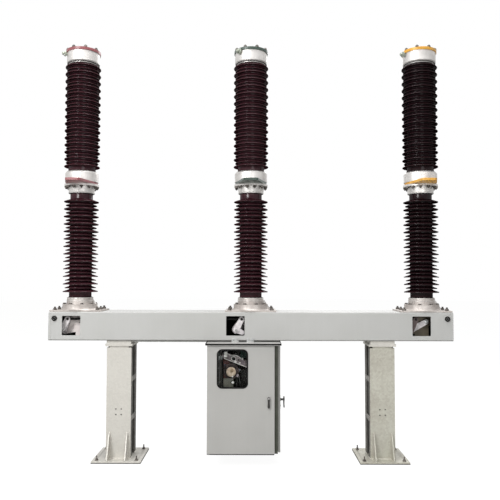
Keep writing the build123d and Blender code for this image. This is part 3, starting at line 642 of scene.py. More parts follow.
class Form:
    """A mesh that is built up from turned, extruded and swept shapes."""

    def __init__(self) -> None:
        """Starts with nothing."""
        self.mesh = bmesh.new()

    def point(self, place: Triple) -> bmesh.types.BMVert:
        """Adds one vertex, given in millimetres."""
        return self.mesh.verts.new(Vector(place) * MM)

    def skin(self, rings: list[list[bmesh.types.BMVert]], closed: bool = False) -> None:
        """Joins rings of vertices one after another.

        Args:
            rings: The rings; a ring of one vertex is a tip.
            closed: Also joins the last ring to the first.
        """
        follow = rings[1:] + (rings[:1] if closed else [])
        for first, second in zip(rings, follow):
            count = max(len(first), len(second))
            if count == 1:
                continue
            for i in range(count):
                j = (i + 1) % count
                corners = [first[i % len(first)], first[j % len(first)]]
                corners += [second[j % len(second)], second[i % len(second)]]
                self.mesh.faces.new(list(dict.fromkeys(corners)))

    def turn(
        self, profile: Sequence[Point2], centre: Triple, along: Triple = UP,
        steps: int = 40, closed: bool = False, start: float = 0.0,
    ) -> "Form":
        """Turns a profile about an axis.

        Args:
            profile: Radius and height of each point, from one end to the other.
            centre: Where height 0 is.
            along: The direction in which height grows.
            steps: Sides of the turned shape.
            closed: The profile goes round, as for a ring, and has no ends on the axis.
            start: The first corner's angle in degrees.

        Returns:
            This form.
        """
        spin = Vector(along).to_track_quat("Z", "Y").to_matrix()
        origin = Vector(centre)
        rings = []
        for radius, height in profile:
            if radius < 1e-6:
                rings.append([self.point(origin + spin @ Vector((0, 0, height)))])
                continue
            ring = []
            for step in range(steps):
                x, y = polar((0, 0), radius, start + 360 * step / steps)
                ring.append(self.point(origin + spin @ Vector((x, y, height))))
            rings.append(ring)
        self.skin(rings, closed)
        return self

    def ring(
        self, centre: Triple, along: Triple, radius: float, section: float,
        steps: int = 48, sides: int = 8,
    ) -> "Form":
        """Adds a round ring of round section.

        Args:
            centre: The ring's middle.
            along: The ring's axis.
            radius: From the middle to the section's centre.
            section: The section's radius.
            steps: Sides around the ring.
            sides: Sides around the section.

        Returns:
            This form.
        """
        profile = [polar((radius, 0), section, 360 * i / sides) for i in range(sides)]
        return self.turn(profile, centre, along, steps, closed=True)

    def extrude(self, outline: Sequence[Point2], span: Point2, axis: Axis = Axis.Y) -> "Form":
        """Draws a closed outline out into a plate.

        Args:
            outline: The outline's points.
            span: The plate's two faces along the axis.
            axis: The axis.

        Returns:
            This form.
        """
        rings = [[self.point(axis.place(p, level)) for p in outline] for level in span]
        self.skin(rings)
        self.mesh.faces.new(rings[0])
        self.mesh.faces.new(list(reversed(rings[-1])))
        return self

    def frame_of(
        self, outer: Sequence[Point2], inner: Sequence[Point2], span: Point2,
        axis: Axis = Axis.Y, crown: float = 0.0,
    ) -> "Form":
        """Adds a flat frame between two outlines with as many points.

        Args:
            outer: The outer outline.
            inner: The inner outline.
            span: The frame's two faces along the axis.
            axis: The axis.
            crown: How far the second face stands up along its middle.

        Returns:
            This form.
        """
        middle = [((a[0] + b[0]) / 2, (a[1] + b[1]) / 2) for a, b in zip(outer, inner)]
        sections = []
        for o, m, i in zip(outer, middle, inner):
            corners = [(o, span[0]), (o, span[1]), (m, span[1] + crown), (i, span[1]), (i, span[0])]
            sections.append([self.point(axis.place(p, level)) for p, level in corners])
        self.skin(sections, closed=True)
        return self

    def block(self, x: Point2, y: Point2, z: Point2) -> "Form":
        """Adds a box between two values on each axis."""
        return self.extrude([(x[0], z[0]), (x[1], z[0]), (x[1], z[1]), (x[0], z[1])], y)

    def sweep(
        self, path: Sequence[Triple], radius: float | Sequence[float], sides: int = 10,
        side: Triple | None = None, flat: float = 1.0,
    ) -> "Form":
        """Sweeps a round or oval section along a path.

        Args:
            path: The path's points.
            radius: The section's radius, or one for each point.
            sides: Sides around the section.
            side: The direction of the section's full radius.
            flat: The section's other radius, as a share of it.

        Returns:
            This form.
        """
        points = [Vector(p) for p in path]
        radii = [radius] * len(points) if isinstance(radius, (int, float)) else list(radius)
        major = (points[1] - points[0]).orthogonal() if side is None else Vector(side)
        rings = []
        for i, place in enumerate(points):
            ahead = (points[min(i + 1, len(points) - 1)] - points[max(i - 1, 0)]).normalized()
            major = (major - ahead * major.dot(ahead)).normalized()
            minor = ahead.cross(major) * flat
            ring = []
            for step in range(sides):
                a = 2 * pi * step / sides
                ring.append(self.point(place + (major * cos(a) + minor * sin(a)) * radii[i]))
            rings.append(ring)
        self.skin(rings)
        self.mesh.faces.new(rings[0])
        self.mesh.faces.new(list(reversed(rings[-1])))
        return self

    def bolt(
        self, centre: Triple, along: Triple, size: float,
        stud: float = 0.0, start: float = 0.0,
    ) -> "Form":
        """Adds a washer and a hexagon head, or a nut with its stud standing out of it.

        Args:
            centre: The point on the clamped face.
            along: Away from that face.
            size: The thread's diameter.
            stud: How far a stud stands out of the nut, or 0 for a bolt head.
            start: Turn of the hexagon in degrees.

        Returns:
            This form.
        """
        washer, corner = size * 0.14, size * 0.92
        top = washer + size * (0.8 if stud else 0.64)
        self.turn(plug(size * 1.05, washer), centre, along, 20)
        hexagon = [(0, washer), (corner, washer), (corner, top - size * 0.08)]
        hexagon += [(corner * 0.86, top), (0, top)]
        self.turn(hexagon, centre, along, 6, start=start)
        if stud:
            pitch = size / 6
            profile: list[Point2] = [(0, top - 1)]
            for turn in range(max(2, int(stud / pitch))):
                level = top + turn * pitch
                profile += [(size * 0.43, level), (size * 0.5, level + pitch / 2)]
            profile += [(size * 0.4, profile[-1][1] + pitch / 2), (0, profile[-1][1] + pitch / 2)]
            self.turn(profile, centre, along, 14)
        return self

    def bead(
        self, start: Triple, end: Triple, radius: float, ripple: float = 5.0
    ) -> "Form":
        """Lays a weld bead with its ripples.

        Args:
            start: Its first point.
            end: Its last point.
            radius: Its radius on the crest of a ripple.
            ripple: From crest to crest.

        Returns:
            This form.
        """
        first, last = Vector(start), Vector(end)
        count = max(4, int((last - first).length / (ripple / 2)))
        path = [first.lerp(last, i / count) for i in range(count + 1)]
        radii = [radius * (1.0 if i % 2 else 0.84) for i in range(count + 1)]
        return self.sweep(path, radii, 7)

    def item(self, name: str) -> Item:
        """Turns the form into a plain object.

        Args:
            name: The object's name.

        Returns:
            The object.
        """
        bmesh.ops.recalc_face_normals(self.mesh, faces=self.mesh.faces)
        data = bpy.data.meshes.new(name)
        self.mesh.to_mesh(data)
        self.mesh.free()
        return show(name, data)

    def piece(
        self, name: str, finish: Finish, slot: Slot, bevel: float = 0.0,
        body: Body = Body.FRAME, stands_for: Sequence[str] = (),
    ) -> Item:
        """Turns the form into a finished piece.

        Args:
            name: The piece's name.
            finish: Its finish.
            slot: The record's slot for the piece; not used.
            bevel: The width of the rounding on its sharp edges, if any.
            body: The body that it rides on.
            stands_for: The nodes that it replaces.

        Returns:
            The piece.
        """
        made = self.item(name)
        data = made.data
        data.shade_smooth()
        data.set_sharp_from_angle(angle=SHARP_ANGLE)
        data.materials.append(finish.material())
        if bevel:
            round_edges(made, bevel)
        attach(made, body.value)
        if stands_for:
            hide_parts(*stands_for)
        log.info("%s: %d faces on %s", name, len(data.polygons), body.value)
        return made


def round_edges(item: Item, width: float) -> None:
    """Rounds an object's sharp edges a little, as real edges are.

    Args:
        item: A piece or a node.
        width: The rounding in millimetres.
    """
    weld = item.modifiers.new("Joined", "WELD")
    weld.merge_threshold = 0.01 * MM
    soft = item.modifiers.new("Edges", "BEVEL")
    soft.width = width * MM
    soft.segments = 2
    soft.limit_method = "ANGLE"
    soft.angle_limit = radians(50)
    smooth = item.modifiers.new("Normals", "WEIGHTED_NORMAL")
    smooth.keep_sharp = True


def dress(nodes: Iterable[str], finish: Finish, bevel: float = 0.0) -> None:
    """Gives nodes of the frame their finish.

    Args:
        nodes: The nodes' names.
        finish: The finish.
        bevel: The rounding on their sharp edges, if any.
    """
    for node in nodes:
        item = frame["nodes"][node]
        item.data.materials.clear()
        item.data.materials.append(finish.material())
        if bevel:
            round_edges(item, bevel)
        log.info("%s: %s", node, finish.name)


# ---- Poles ---------------------------------------------------------------
@dataclass(frozen=True)
class Phase:
    """What sets one pole apart from the others."""

    side: str
    finish: Finish
    slot: Slot
    port_angle: float
    crank_case: Finish
    glaze: Finish

    def node(self, part: str) -> str:
        """Gives the name of a part's node on this pole."""
        return f"{part}_{self.side}"


# The right pole takes painted shade: darker porcelains and a dark crank case.
PHASES = (
    Phase("left", PHASE_RED, Slot.RED, 203.0, CRANK_CASE, GLAZE),
    Phase("middle", PHASE_GREEN, Slot.GREEN, 228.0, CRANK_CASE, GLAZE),
    Phase("right", PHASE_YELLOW, Slot.YELLOW, 195.0, CASE_PAINTED_SHADE, GLAZE_PAINTED_SHADE),
)


@dataclass
class Porcelain:
    """A glazed porcelain with large and small sheds in turn."""

    node: str
    finish: Finish
    core_r: float
    overhangs: Point2
    sheds: int
    ends: Point2
    rim: float = 8.0
    under_slope: float = 0.10
    top_slope: float = 0.33
    steps: int = 72

    def shed(self, level: float, reach: float) -> list[Point2]:
        """Gives one shed's profile: a filleted root, a drip edge and a round rim.

        Args:
            level: The height of the rim's middle.
            reach: How far it stands out of the core.

        Returns:
            The profile's points from below to above.
        """
        core, tip, half = self.core_r, self.core_r + reach, self.rim / 2
        under = level - half + self.under_slope * reach
        over = level + half + self.top_slope * reach
        return [
            (core, under - 5), (core + 1.6, under - 1.6), (core + 5, under - 0.2),
            (tip - 9, level - half + 1.4), (tip - 6, level - half + 0.1),
            (tip - 2.4, level - half), (tip - 0.6, level - half + 1.6), (tip, level - 0.8),
            (tip - 0.5, level + half - 2.4), (tip - 2.6, level + half),
            (core + 7, over - self.top_slope * 7), (core + 2.2, over - 0.2), (core, over + 4),
        ]

    def build(self) -> None:
        """Makes the porcelain in place of its node."""
        box = Box.of(self.node)
        low, high = box.low.z, box.high.z
        pitch = (high - low - sum(self.ends)) / (self.sheds - 1)
        profile: list[Point2] = [(0, low), (self.core_r, low)]
        for index in range(2 * self.sheds - 1):
            level = low + self.ends[0] + index * pitch / 2
            profile += self.shed(level, self.overhangs[index % 2])
        profile += [(self.core_r, high), (0, high)]
        form = Form().turn(profile, (box.centre.x, box.centre.y, 0), steps=self.steps)
        form.piece(
            f"glazed_{self.node}", self.finish, Slot.PORCELAIN, stands_for=[self.node]
        )


@dataclass
class Pole:
    """One pole: porcelains between castings, its terminals and all its bolts."""

    phase: Phase
    flange_circle: float = 150.0
    flange_bolts: int = 8
    flange_bolt: float = 16.0
    cap_bolts: int = 12
    cap_bolt: float = 18.0
    stud_x: float = 207.0
    stud_y: float = 132.0
    stud: float = 20.0
    cover_circle: float = 153.0
    cover_bolts: int = 8
    lower_pad: Point3 = (155.0, 150.0, 66.0)
    upper_pad: Point3 = (170.0, 115.0, 50.0)
    hole_spacing: float = 50.0
    hole_r: float = 7.0
    hole_edge: float = 45.0
    pad_corner: float = 14.0
    port_r: float = 28.0
    port_drop: float = 10.0
    lower_thick: float = 24.0
    cover_thick: float = 28.0
    stud_plate: float = 14.0
    support_core: float = 108.5
    upper_core: float = 132.0
    x: float = field(init=False)

    def __post_init__(self) -> None:
        """Reads the pole's centre line from its porcelain."""
        self.x = Box.of(self.phase.node("interrupter_insulator")).centre.x

    def spot(self, radius: float, angle: float, level: float) -> Point3:
        """Gives a point at a radius and an angle in degrees about the pole."""
        x, y = polar((self.x, 0), radius, angle)
        return x, y, level

    def build(self) -> None:
        """Makes and dresses everything on the pole."""
        node = self.phase.node
        glaze = self.phase.glaze
        support, upper = node("support_insulator"), node("interrupter_insulator")
        Porcelain(support, glaze, self.support_core, (61.0, 42.5), 13, (56.0, 82.0)).build()
        Porcelain(upper, glaze, self.upper_core, (42.0, 27.0), 15, (53.0, 35.0)).build()
        castings = ("support_cap", "lower_housing", "top_housing")
        dress([node(part) for part in castings], CASTING, 1.5)
        dress([node("pole_base")], FOOT_CASTING, 1.5)
        # Faces inside the beam take the pole's crank case finish, which on the right pole is
        # painted shade.
        level = Box.of("beam_top_plate").low.z * MM
        repaint(
            frame["nodes"][node("pole_base")], self.phase.crank_case,
            lambda face: face.center.z < level,
        )
        self.build_terminal("lower_terminal", -1)
        self.build_terminal("top_cover", 1)
        self.build_joints()
        self.build_bolts()
        self.build_port()
        self.build_rib()

    def build_terminal(self, part: str, toward: int) -> None:
        """Makes a painted terminal plate with its drilled pad.

        Args:
            part: The node that it stands for.
            toward: -1 where the pad points to the front, and 1 to the rear.
        """
        box = Box.of(self.phase.node(part))
        low = box.low.z
        high = low + (self.lower_thick if toward < 0 else self.cover_thick)
        reach = max(abs(box.low.y), abs(box.high.y))
        radius, shoulder, end = self.lower_pad if toward < 0 else self.upper_pad
        root = atan2(shoulder, (radius**2 - shoulder**2) ** 0.5) * 180 / pi
        corner = self.pad_corner
        outline = [
            polar((0, 0), radius - 0.2, root - 90 + (360 - 2 * root) * step / 48)
            for step in range(49)
        ]
        outline += [(-end - 4, -reach + corner), (-end + corner, -reach)]
        outline += [(end - corner, -reach), (end + 4, -reach + corner)]
        placed = [(self.x + a, -toward * b) for a, b in outline]
        plate = Form().extrude(placed, (low, high), Axis.Z)
        holes = Form()
        middle = toward * (reach - self.hole_edge)
        for dx in (-0.5, 0.5):
            for dy in (-0.5, 0.5):
                place = (self.x + dx * self.hole_spacing, middle + dy * self.hole_spacing, low - 5)
                holes.turn(plug(self.hole_r, 40), place, UP, 24)
        name = f"painted_{self.phase.node(part)}"
        made = plate.piece(
            name, self.phase.finish, self.phase.slot, stands_for=[self.phase.node(part)]
        )
        cut(made, holes)
        round_edges(made, 2.0)

    def build_joints(self) -> None:
        """Seals the cement joint at each end of both porcelains, and lays a dark ring of painted
        shade under the top housing.
        """
        form = Form()
        ends = ("support_insulator", self.support_core), ("interrupter_insulator", self.upper_core)
        for part, core in ends:
            box = Box.of(self.phase.node(part))
            for level, toward in ((box.low.z, 1), (box.high.z, -1)):
                profile = [(core - 3, -1), (core + 12, -1), (core + 11, 1.6), (core + 5, 2.6)]
                profile += [(core + 1.5, 6), (core - 3, 7)]
                form.turn(profile, (self.x, 0, level), (0, 0, toward), 72, closed=True)
        # Painted shade: a dark ring under the top housing, whose underside stands in shadow.
        under = Box.of(self.phase.node("top_housing")).low.z
        housing_shade_ring = [(133, 0.5), (158, 0.5), (158, -2), (133, -2)]
        form.turn(housing_shade_ring, (self.x, 0, under), UP, 72, closed=True)
        name = self.phase.node("cement_joints")
        form.piece(name, BITUMEN_AND_PAINTED_SHADE, Slot.DARK)
        band = [(131, -2), (149, -2), (149, -8), (146, -11), (131, -11)]
        ring = Form().turn(band, (self.x, 0, under), UP, 72, closed=True)
        ring.piece(self.phase.node("end_band"), CASTING, Slot.CASTING)

    def build_bolts(self) -> None:
        """Makes every bolt, nut and stud on the pole."""
        base = Box.of(self.phase.node("pole_base"))
        plate_top = Box.of("beam_top_plate").high.z + self.stud_plate
        flange_top = base.high.z - 65
        form = Form()
        for side in (-1, 1):
            for row in (-1, 0, 1):
                place = (self.x + side * self.stud_x, row * self.stud_y, plate_top)
                form.bolt(place, UP, self.stud, stud=16, start=11 * row + 7 * side)
        under = Box.of(self.phase.node("lower_terminal")).low.z - 20
        cover = Box.of(self.phase.node("top_cover")).low.z + self.cover_thick
        for level, along, count, radius, size, stud, turn in (
            (flange_top, UP, self.flange_bolts, self.flange_circle, self.flange_bolt, 0, 37),
            (under, DOWN, self.cap_bolts, self.flange_circle, self.cap_bolt, 9, 23),
            (cover, UP, self.cover_bolts, self.cover_circle, self.cap_bolt, 6, 31),
        ):
            for index in range(count):
                place = self.spot(radius, 360 * (index + 0.5) / count, level)
                form.bolt(place, along, size, stud, turn * index)
        form.piece(self.phase.node("pole_bolts"), BOLT_WEATHERED_SHADED, Slot.ZINC)

    def build_port(self) -> None:
        """Makes the filling port on the top casting, with its flange, bolts and cap."""
        box = Box.of(self.phase.node("top_housing"))
        level = box.high.z - self.port_drop
        out = Vector(self.spot(1, self.phase.port_angle, 0)) - Vector((self.x, 0, 0))
        foot = Vector(self.spot(box.size.x / 2 - 8, self.phase.port_angle, level))
        r = self.port_r
        stem = [(0, 0), (r * 0.66, 0), (r * 0.66, 19), (r, 20), (r, 31), (0, 31)]
        form = Form().turn(stem, foot, out, 32)
        cap = [(0, 31), (r * 0.62, 31), (r * 0.62, 46), (r * 0.5, 56), (0, 56)]
        form.turn(cap, foot, out, 6)
        form.piece(self.phase.node("port"), GREEN_BRONZE, Slot.CASTING, bevel=1.0)
        across = out.cross(Vector(UP))
        bolts = Form()
        for index in range(4):
            a = radians(45 + 90 * index)
            place = foot + out * 31 + (across * cos(a) + Vector(UP) * sin(a)) * (r * 0.8)
            bolts.bolt(place, out, 6)
        bolts.piece(self.phase.node("port_bolts"), BOLT_ZINC, Slot.ZINC)

    def build_rib(self) -> None:
        """Makes the ribs that brace the collar to the bolting plate, and the collar's lip."""
        base = Box.of(self.phase.node("pole_base"))
        plate_top = Box.of("beam_top_plate").high.z + self.stud_plate - 1
        top = base.high.z - 22
        form = Form()
        outline = [(self.x + 120, plate_top), (self.x + 196, plate_top)]
        outline += [(self.x + 196, plate_top + 8), (self.x + 133, top), (self.x + 120, top)]
        form.extrude(outline, (-9, 9))
        for level, radius in ((base.high.z - 8, 125.0), (base.high.z - 30, 127.5)):
            form.ring((self.x, 0, level), UP, radius, 3.2, 72)
        cap = Box.of(self.phase.node("support_cap"))
        form.ring((self.x, 0, cap.low.z + 8), UP, 125.0, 3.2, 72)
        name = self.phase.node("casting_ribs")
        form.piece(name, CASTING, Slot.CASTING, bevel=1.5)


def repaint(
    item: Item, finish: Finish, chosen: Callable[[bpy.types.MeshPolygon], bool]
) -> None:
    """Gives some of an object's faces a second finish.

    Args:
        item: The piece or node.
        finish: The second finish.
        chosen: Tells whether a face takes it.
    """
    item.data.materials.append(finish.material())
    for face in item.data.polygons:
        if chosen(face):
            face.material_index = len(item.data.materials) - 1


def cut(item: Item, holes: Form) -> None:
    """Drills a piece.

    Args:
        item: The piece.
        holes: The shapes to take away.
    """
    tool = holes.item("holes")
    drill = item.modifiers.new("Holes", "BOOLEAN")
    drill.object = tool
    drill.solver = "EXACT"
    graph = bpy.context.evaluated_depsgraph_get()
    graph.update()
    drilled = bpy.data.meshes.new_from_object(item.evaluated_get(graph))
    item.modifiers.clear()
    bpy.data.objects.remove(tool)
    drilled.set_sharp_from_angle(angle=SHARP_ANGLE)
    item.data = drilled


# ---- Legs and beam -------------------------------------------------------
@dataclass
class Leg:
    """One leg: two channels between a foundation plate and a cap, welded and anchored."""

    side: str
    coat: Finish
    anchor: float = 190.0
    anchor_size: float = 13.0
    stud: float = 26.0
    washer: Point2 = (32.0, 32.0)
    washer_thick: float = 5.0
    felt: float = 6.0
    gusset: float = 86.0
    gusset_half: float = 5.0
    gusset_rise: float = 250.0
    bead_r: float = 4.0
    web: float = 8.5
    flange: float = 12.0
    root_r: float = 12.0
    notch: float = 28.0
    notch_rise: float = 16.0
    earth_level: float = 443.0
    earth_spacing: Point2 = (52.0, 54.0)
    earth_r: float = 6.5

    def build(self) -> None:
        """Makes the channels, dresses the leg's other nodes and adds its welds and anchors."""
        base = f"leg_base_{self.side}"
        channels = [f"leg_front_channel_{self.side}", f"leg_rear_channel_{self.side}"]
        dress([base], self.coat, 1.5)
        front, rear, plate = Box.of(channels[0]), Box.of(channels[1]), Box.of(base)
        self.build_channel(channels[0], front, -1)
        self.build_channel(channels[1], rear, 1)
        self.build_welds(front, rear, plate)
        self.build_anchors(plate, front.low.z)

    def build_channel(self, node: str, box: Box, toward: int) -> None:
        """Makes a rolled channel with its root fillets, in place of its node.

        Args:
            node: The node.
            box: The node's box.
            toward: -1 for the front channel and 1 for the rear one.
        """
        half, depth = box.size.x / 2, box.size.y
        face = box.low.y if toward < 0 else box.high.y
        inner, root = half - self.flange, self.root_r
        right: list[Point2] = [(half - 2, 0), (half - 0.6, 0.6), (half, 2), (half, depth)]
        right += [(inner + 5, depth), (inner + 1.5, depth - 1.5), (inner, depth - 5)]
        right += [polar((inner - root, self.web + root), root, -15 * i) for i in range(7)]
        outline = right + [(-u, d) for u, d in reversed(right)]
        placed = [(box.centre.x + u, face - toward * d) for u, d in outline]
        form = Form().extrude(placed, (box.low.z, box.high.z), Axis.Z)
        made = form.piece(
            f"rolled_{node}", self.coat, Slot.GALVANISED, stands_for=[node]
        )
        if toward < 0:
            cut(made, self.openings(box))
        # Painted shade: every face of the channel but its outer web takes the dark zinc.
        repaint(made, ZINC_PAINTED_SHADE, lambda side: side.normal.y * toward < 0.2)
        round_edges(made, 1.2)

    def openings(self, box: Box) -> Form:
        """Gives the weld notches and the earthing holes of the front channel's web.

        Args:
            box: The channel's box.

        Returns:
            The shapes to take away.
        """
        x, half, top = box.centre.x, box.size.x / 2, box.high.z
        depth = (box.low.y - 5, box.low.y + self.web + 0.2)
        through = (depth[0], box.low.y + 0.8 * box.size.y)
        form = Form()
        for side in (-1, 1):
            span = sorted((x + side * (half + 5), x + side * (half - self.notch)))
            form.block((span[0], span[1]), through, (top - self.notch_rise, top + 5))
            for level in (-0.5, 0.5):
                spot = (x + side * self.earth_spacing[0] / 2, depth[0])
                z = box.low.z + self.earth_level + level * self.earth_spacing[1]
                form.turn(plug(self.earth_r, 20), (*spot, z), BACKWARD, 24)
        return form

    def build_welds(self, front: Box, rear: Box, plate: Box) -> None:
        """Lays the welds at the foot, along the gussets, on the battens and under the cap.

        Args:
            front: The front channel.
            rear: The rear channel.
            plate: The foundation plate with its gussets.
        """
        form = Form()
        x, r = front.centre.x, self.bead_r
        half, foot, top = front.size.x / 2, front.low.z, front.high.z
        for box, face, toward in ((front, front.low.y, -1), (rear, rear.high.y, 1)):
            flange = face - toward * box.size.y
            form.bead((x - half, face, foot + 1), (x + half, face, foot + 1), r)
            form.bead((x - half + 20, face, top - 1), (x + half - 20, face, top - 1), r * 0.8)
            for side in (-1, 1):
                edge = x + side * half
                form.bead((edge, face, foot + 1), (edge, flange, foot + 1), r)
                for flank in (-1, 1):
                    gx = x + side * self.gusset + flank * self.gusset_half
                    end = plate.high.y - 14 if toward > 0 else plate.low.y + 14
                    form.bead((gx, face, foot), (gx, face, foot + self.gusset_rise), r)
                    form.bead((gx, face, foot), (gx, end, foot), r)
        battens = frame["nodes"]["leg_battens"]
        levels = sorted({round(v.co.z / MM) for v in battens.data.vertices})
        reach = Box.of("leg_battens").high.y
        for low, high in zip(levels[::2], levels[1::2]):
            for side in (-1, 1):
                for end in (-1, 1):
                    place = (x + side * (half + 2), end * reach)
                    form.bead((*place, low), (*place, high), r * 0.8)
        # The beads' brighter finish is a painted highlight.
        form.piece(f"leg_welds_{self.side}", WELD, Slot.GALVANISED)

    def build_anchors(self, plate: Box, top: float) -> None:
        """Sets an anchor stud with a square washer and two nuts in each corner.

        Args:
            plate: The foundation plate.
            top: The plate's upper face.
        """
        form = Form()
        for side in (-1, 1):
            for end in (-1, 1):
                x, y = plate.centre.x + side * self.anchor, end * self.anchor
                face = top + self.washer_thick
                form.extrude(rounded((x, y), self.washer, 4, 3), (top, face), Axis.Z)
                turn = 17 * side + 40 * end
                form.bolt((x, y, face), UP, self.anchor_size, self.stud, turn)
        form.piece(f"anchors_{self.side}", BOLT_WEATHERED_SHADED, Slot.ZINC)
        # Painted shade: a dark pad under the foundation plate draws its contact shadow.
        half = plate.size.x / 2 + 1.5
        outline = rounded((plate.centre.x, 0), (2 * half, 2 * half), 3, 3)
        felt = Form().extrude(outline, (0, self.felt), Axis.Z)
        felt.piece(f"felt_pad_{self.side}", BITUMEN_AND_PAINTED_SHADE, Slot.DARK)


@dataclass
class Beam:
    """The box beam with its lifting pins, seams and the duct under it."""

    pin_r: float = 24.0
    bore_r: float = 11.0
    seam_inset: float = 23.0
    edge_r: float = 12.0
    corner_r: float = 16.0
    window_shifts: Point3 = (-35.0, -147.0, -51.0)
    window_sill: float = 49.0
    window_header: float = 40.0
    window_width: float = 178.0
    window_corner: float = 8.0
    rod_hole_r: float = 26.0
    rod_eye_thick: float = 26.0

    def build(self) -> None:
        """Makes the beam's box, dresses its nodes and adds its collars and seams."""
        self.build_shell()
        dress(["beam_end_covers"], BEAM_COAT)
        dress(["cable_duct", "cabinet_hangers"], BEAM_COAT, 1.5)
        dress(["leg_caps"], ZINC_BATH, 1.5)
        dress(["leg_battens"], ZINC_MID_GREY, 1.5)
        dress(["lifting_pins"], BLACKED, 1.0)
        self.build_lifting_collars()
        self.build_seams()

    def build_shell(self) -> None:
        """Makes the folded box with its windows and bores, in place of its four plates."""
        front, top = Box.of("beam_front_plate"), Box.of("beam_top_plate")
        wall, thick, reach = front.size.y, top.size.z, -front.low.y
        height = front.size.z
        middle = front.low.z + wall + (height - wall - thick) / 2
        outer = rounded((0, front.centre.z), (2 * reach, height), self.edge_r)
        hollow = (2 * (reach - wall), height - wall - thick)
        inner = rounded((0, middle), hollow, 3.0)
        shell = Form().frame_of(outer, inner, (front.low.x, front.high.x), Axis.X)
        made = shell.piece(
            "folded_beam_shell", BEAM_COAT, Slot.BEAM_PAINT,
            stands_for=[f"beam_{part}_plate" for part in ("front", "rear", "top", "bottom")],
        )
        holes = Form()
        tall = height - self.window_sill - self.window_header
        level = front.low.z + self.window_sill + tall / 2
        for phase, shift in zip(PHASES, self.window_shifts):
            x = Box.of(phase.node("interrupter_insulator")).centre.x + shift
            window = rounded((x, level), (self.window_width, tall), self.window_corner)
            holes.extrude(window, (front.low.y - 5, front.high.y + 3))
        pins = Box.of("lifting_pins")
        for x in (pins.low.x + self.pin_r, pins.high.x - self.pin_r):
            bore = plug(self.pin_r, 2 * reach + 10)
            holes.turn(bore, (x, -reach - 5, pins.centre.z), BACKWARD, 32)
        rod = Box.of("drive_rod")
        axis_y = rod.low.y + self.rod_eye_thick / 2
        place = (rod.centre.x, axis_y, front.low.z - 5)
        holes.turn(plug(self.rod_hole_r, 20), place, UP, 32)
        for side in (-1, 1):
            inner_x, inner_z = front.high.x - self.corner_r, front.high.z - self.corner_r
            past, over = front.high.x + 3, front.high.z + 3
            arc = [polar((inner_x, inner_z), self.corner_r, 15 * step) for step in range(7)]
            corner = [(past, over), (past, inner_z), *arc, (inner_x, over)]
            holes.extrude([(side * x, z) for x, z in corner], (-reach - 5, reach + 5))
        cut(made, holes)
        # Painted shade: the beam's inner faces take the dark finish.
        low, high = (front.low.z + wall + 0.5) * MM, (front.high.z - thick + 0.5) * MM
        deep = (reach - wall + 0.5) * MM
        repaint(
            made, INNER_PAINTED_SHADE,
            lambda face: abs(face.center.y) < deep and low - MM < face.center.z < high,
        )
        round_edges(made, 1.2)

    def build_lifting_collars(self) -> None:
        """Makes the hexagon collar and the bright bush on each end of the lifting pins."""
        pins, front = Box.of("lifting_pins"), Box.of("beam_front_plate")
        x, z = pins.high.x - self.pin_r, pins.centre.z
        collars, bushes, welds = Form(), Form(), Form()
        faces = ((-1, front.low.y, pins.low.y), (1, -front.low.y, pins.high.y))
        for side in (-1, 1):
            for toward, wall, end in faces:
                place, along = (side * x, wall, z), (0, toward, 0)
                depth = abs(end - wall) - 0.5
                hexagon = [(self.pin_r + 0.2, 0), (self.pin_r + 4, 0), (self.pin_r + 4, depth - 2)]
                hexagon += [(self.pin_r + 2, depth), (self.pin_r + 0.2, depth)]
                collars.turn(hexagon, place, along, 6, closed=True, start=15)
                inner, outer, lip = self.bore_r, self.bore_r + 7, depth + 0.4
                bush = [(inner, -6), (inner, lip), (outer, lip), (outer, -6)]
                bushes.turn(bush, place, along, 28, closed=True)
                welds.ring(place, along, self.pin_r + 4, 2.2)
        collars.piece("lifting_collars", BLACKED, Slot.DARK)
        bushes.piece("lifting_bushes", BOLT_ZINC, Slot.ZINC)
        welds.piece("lifting_welds", BEAM_COAT, Slot.BEAM_PAINT)

    def build_seams(self) -> None:
        """Lays the painted seam that closes each end of the beam, front and rear, and a grey strip
        of painted shade along its lower fold.
        """
        front = Box.of("beam_front_plate")
        form = Form()
        for side in (-1, 1):
            x = side * (front.high.x - self.seam_inset)
            for wall in (front.low.y, -front.low.y):
                form.bead((x, wall, front.low.z + 6), (x, wall, front.high.z - 6), 1.8, 8)
        form.piece("beam_end_seams", BEAM_COAT, Slot.BEAM_PAINT)
        # Painted shade: a dull grey strip along the lower fold, front and rear.
        strips = Form()
        for toward, wall in ((-1, front.low.y), (1, -front.low.y)):
            span = sorted((wall - toward * 9, wall + toward * 0.4))
            low, reach = front.low.z + 1, front.high.x - 6
            strips.block((-reach, reach), (span[0], span[1]), (low, low + 5))
        strips.piece("beam_fold_sealant", FOLD_PAINTED_SHADE, Slot.BEAM_PAINT, 0.5)


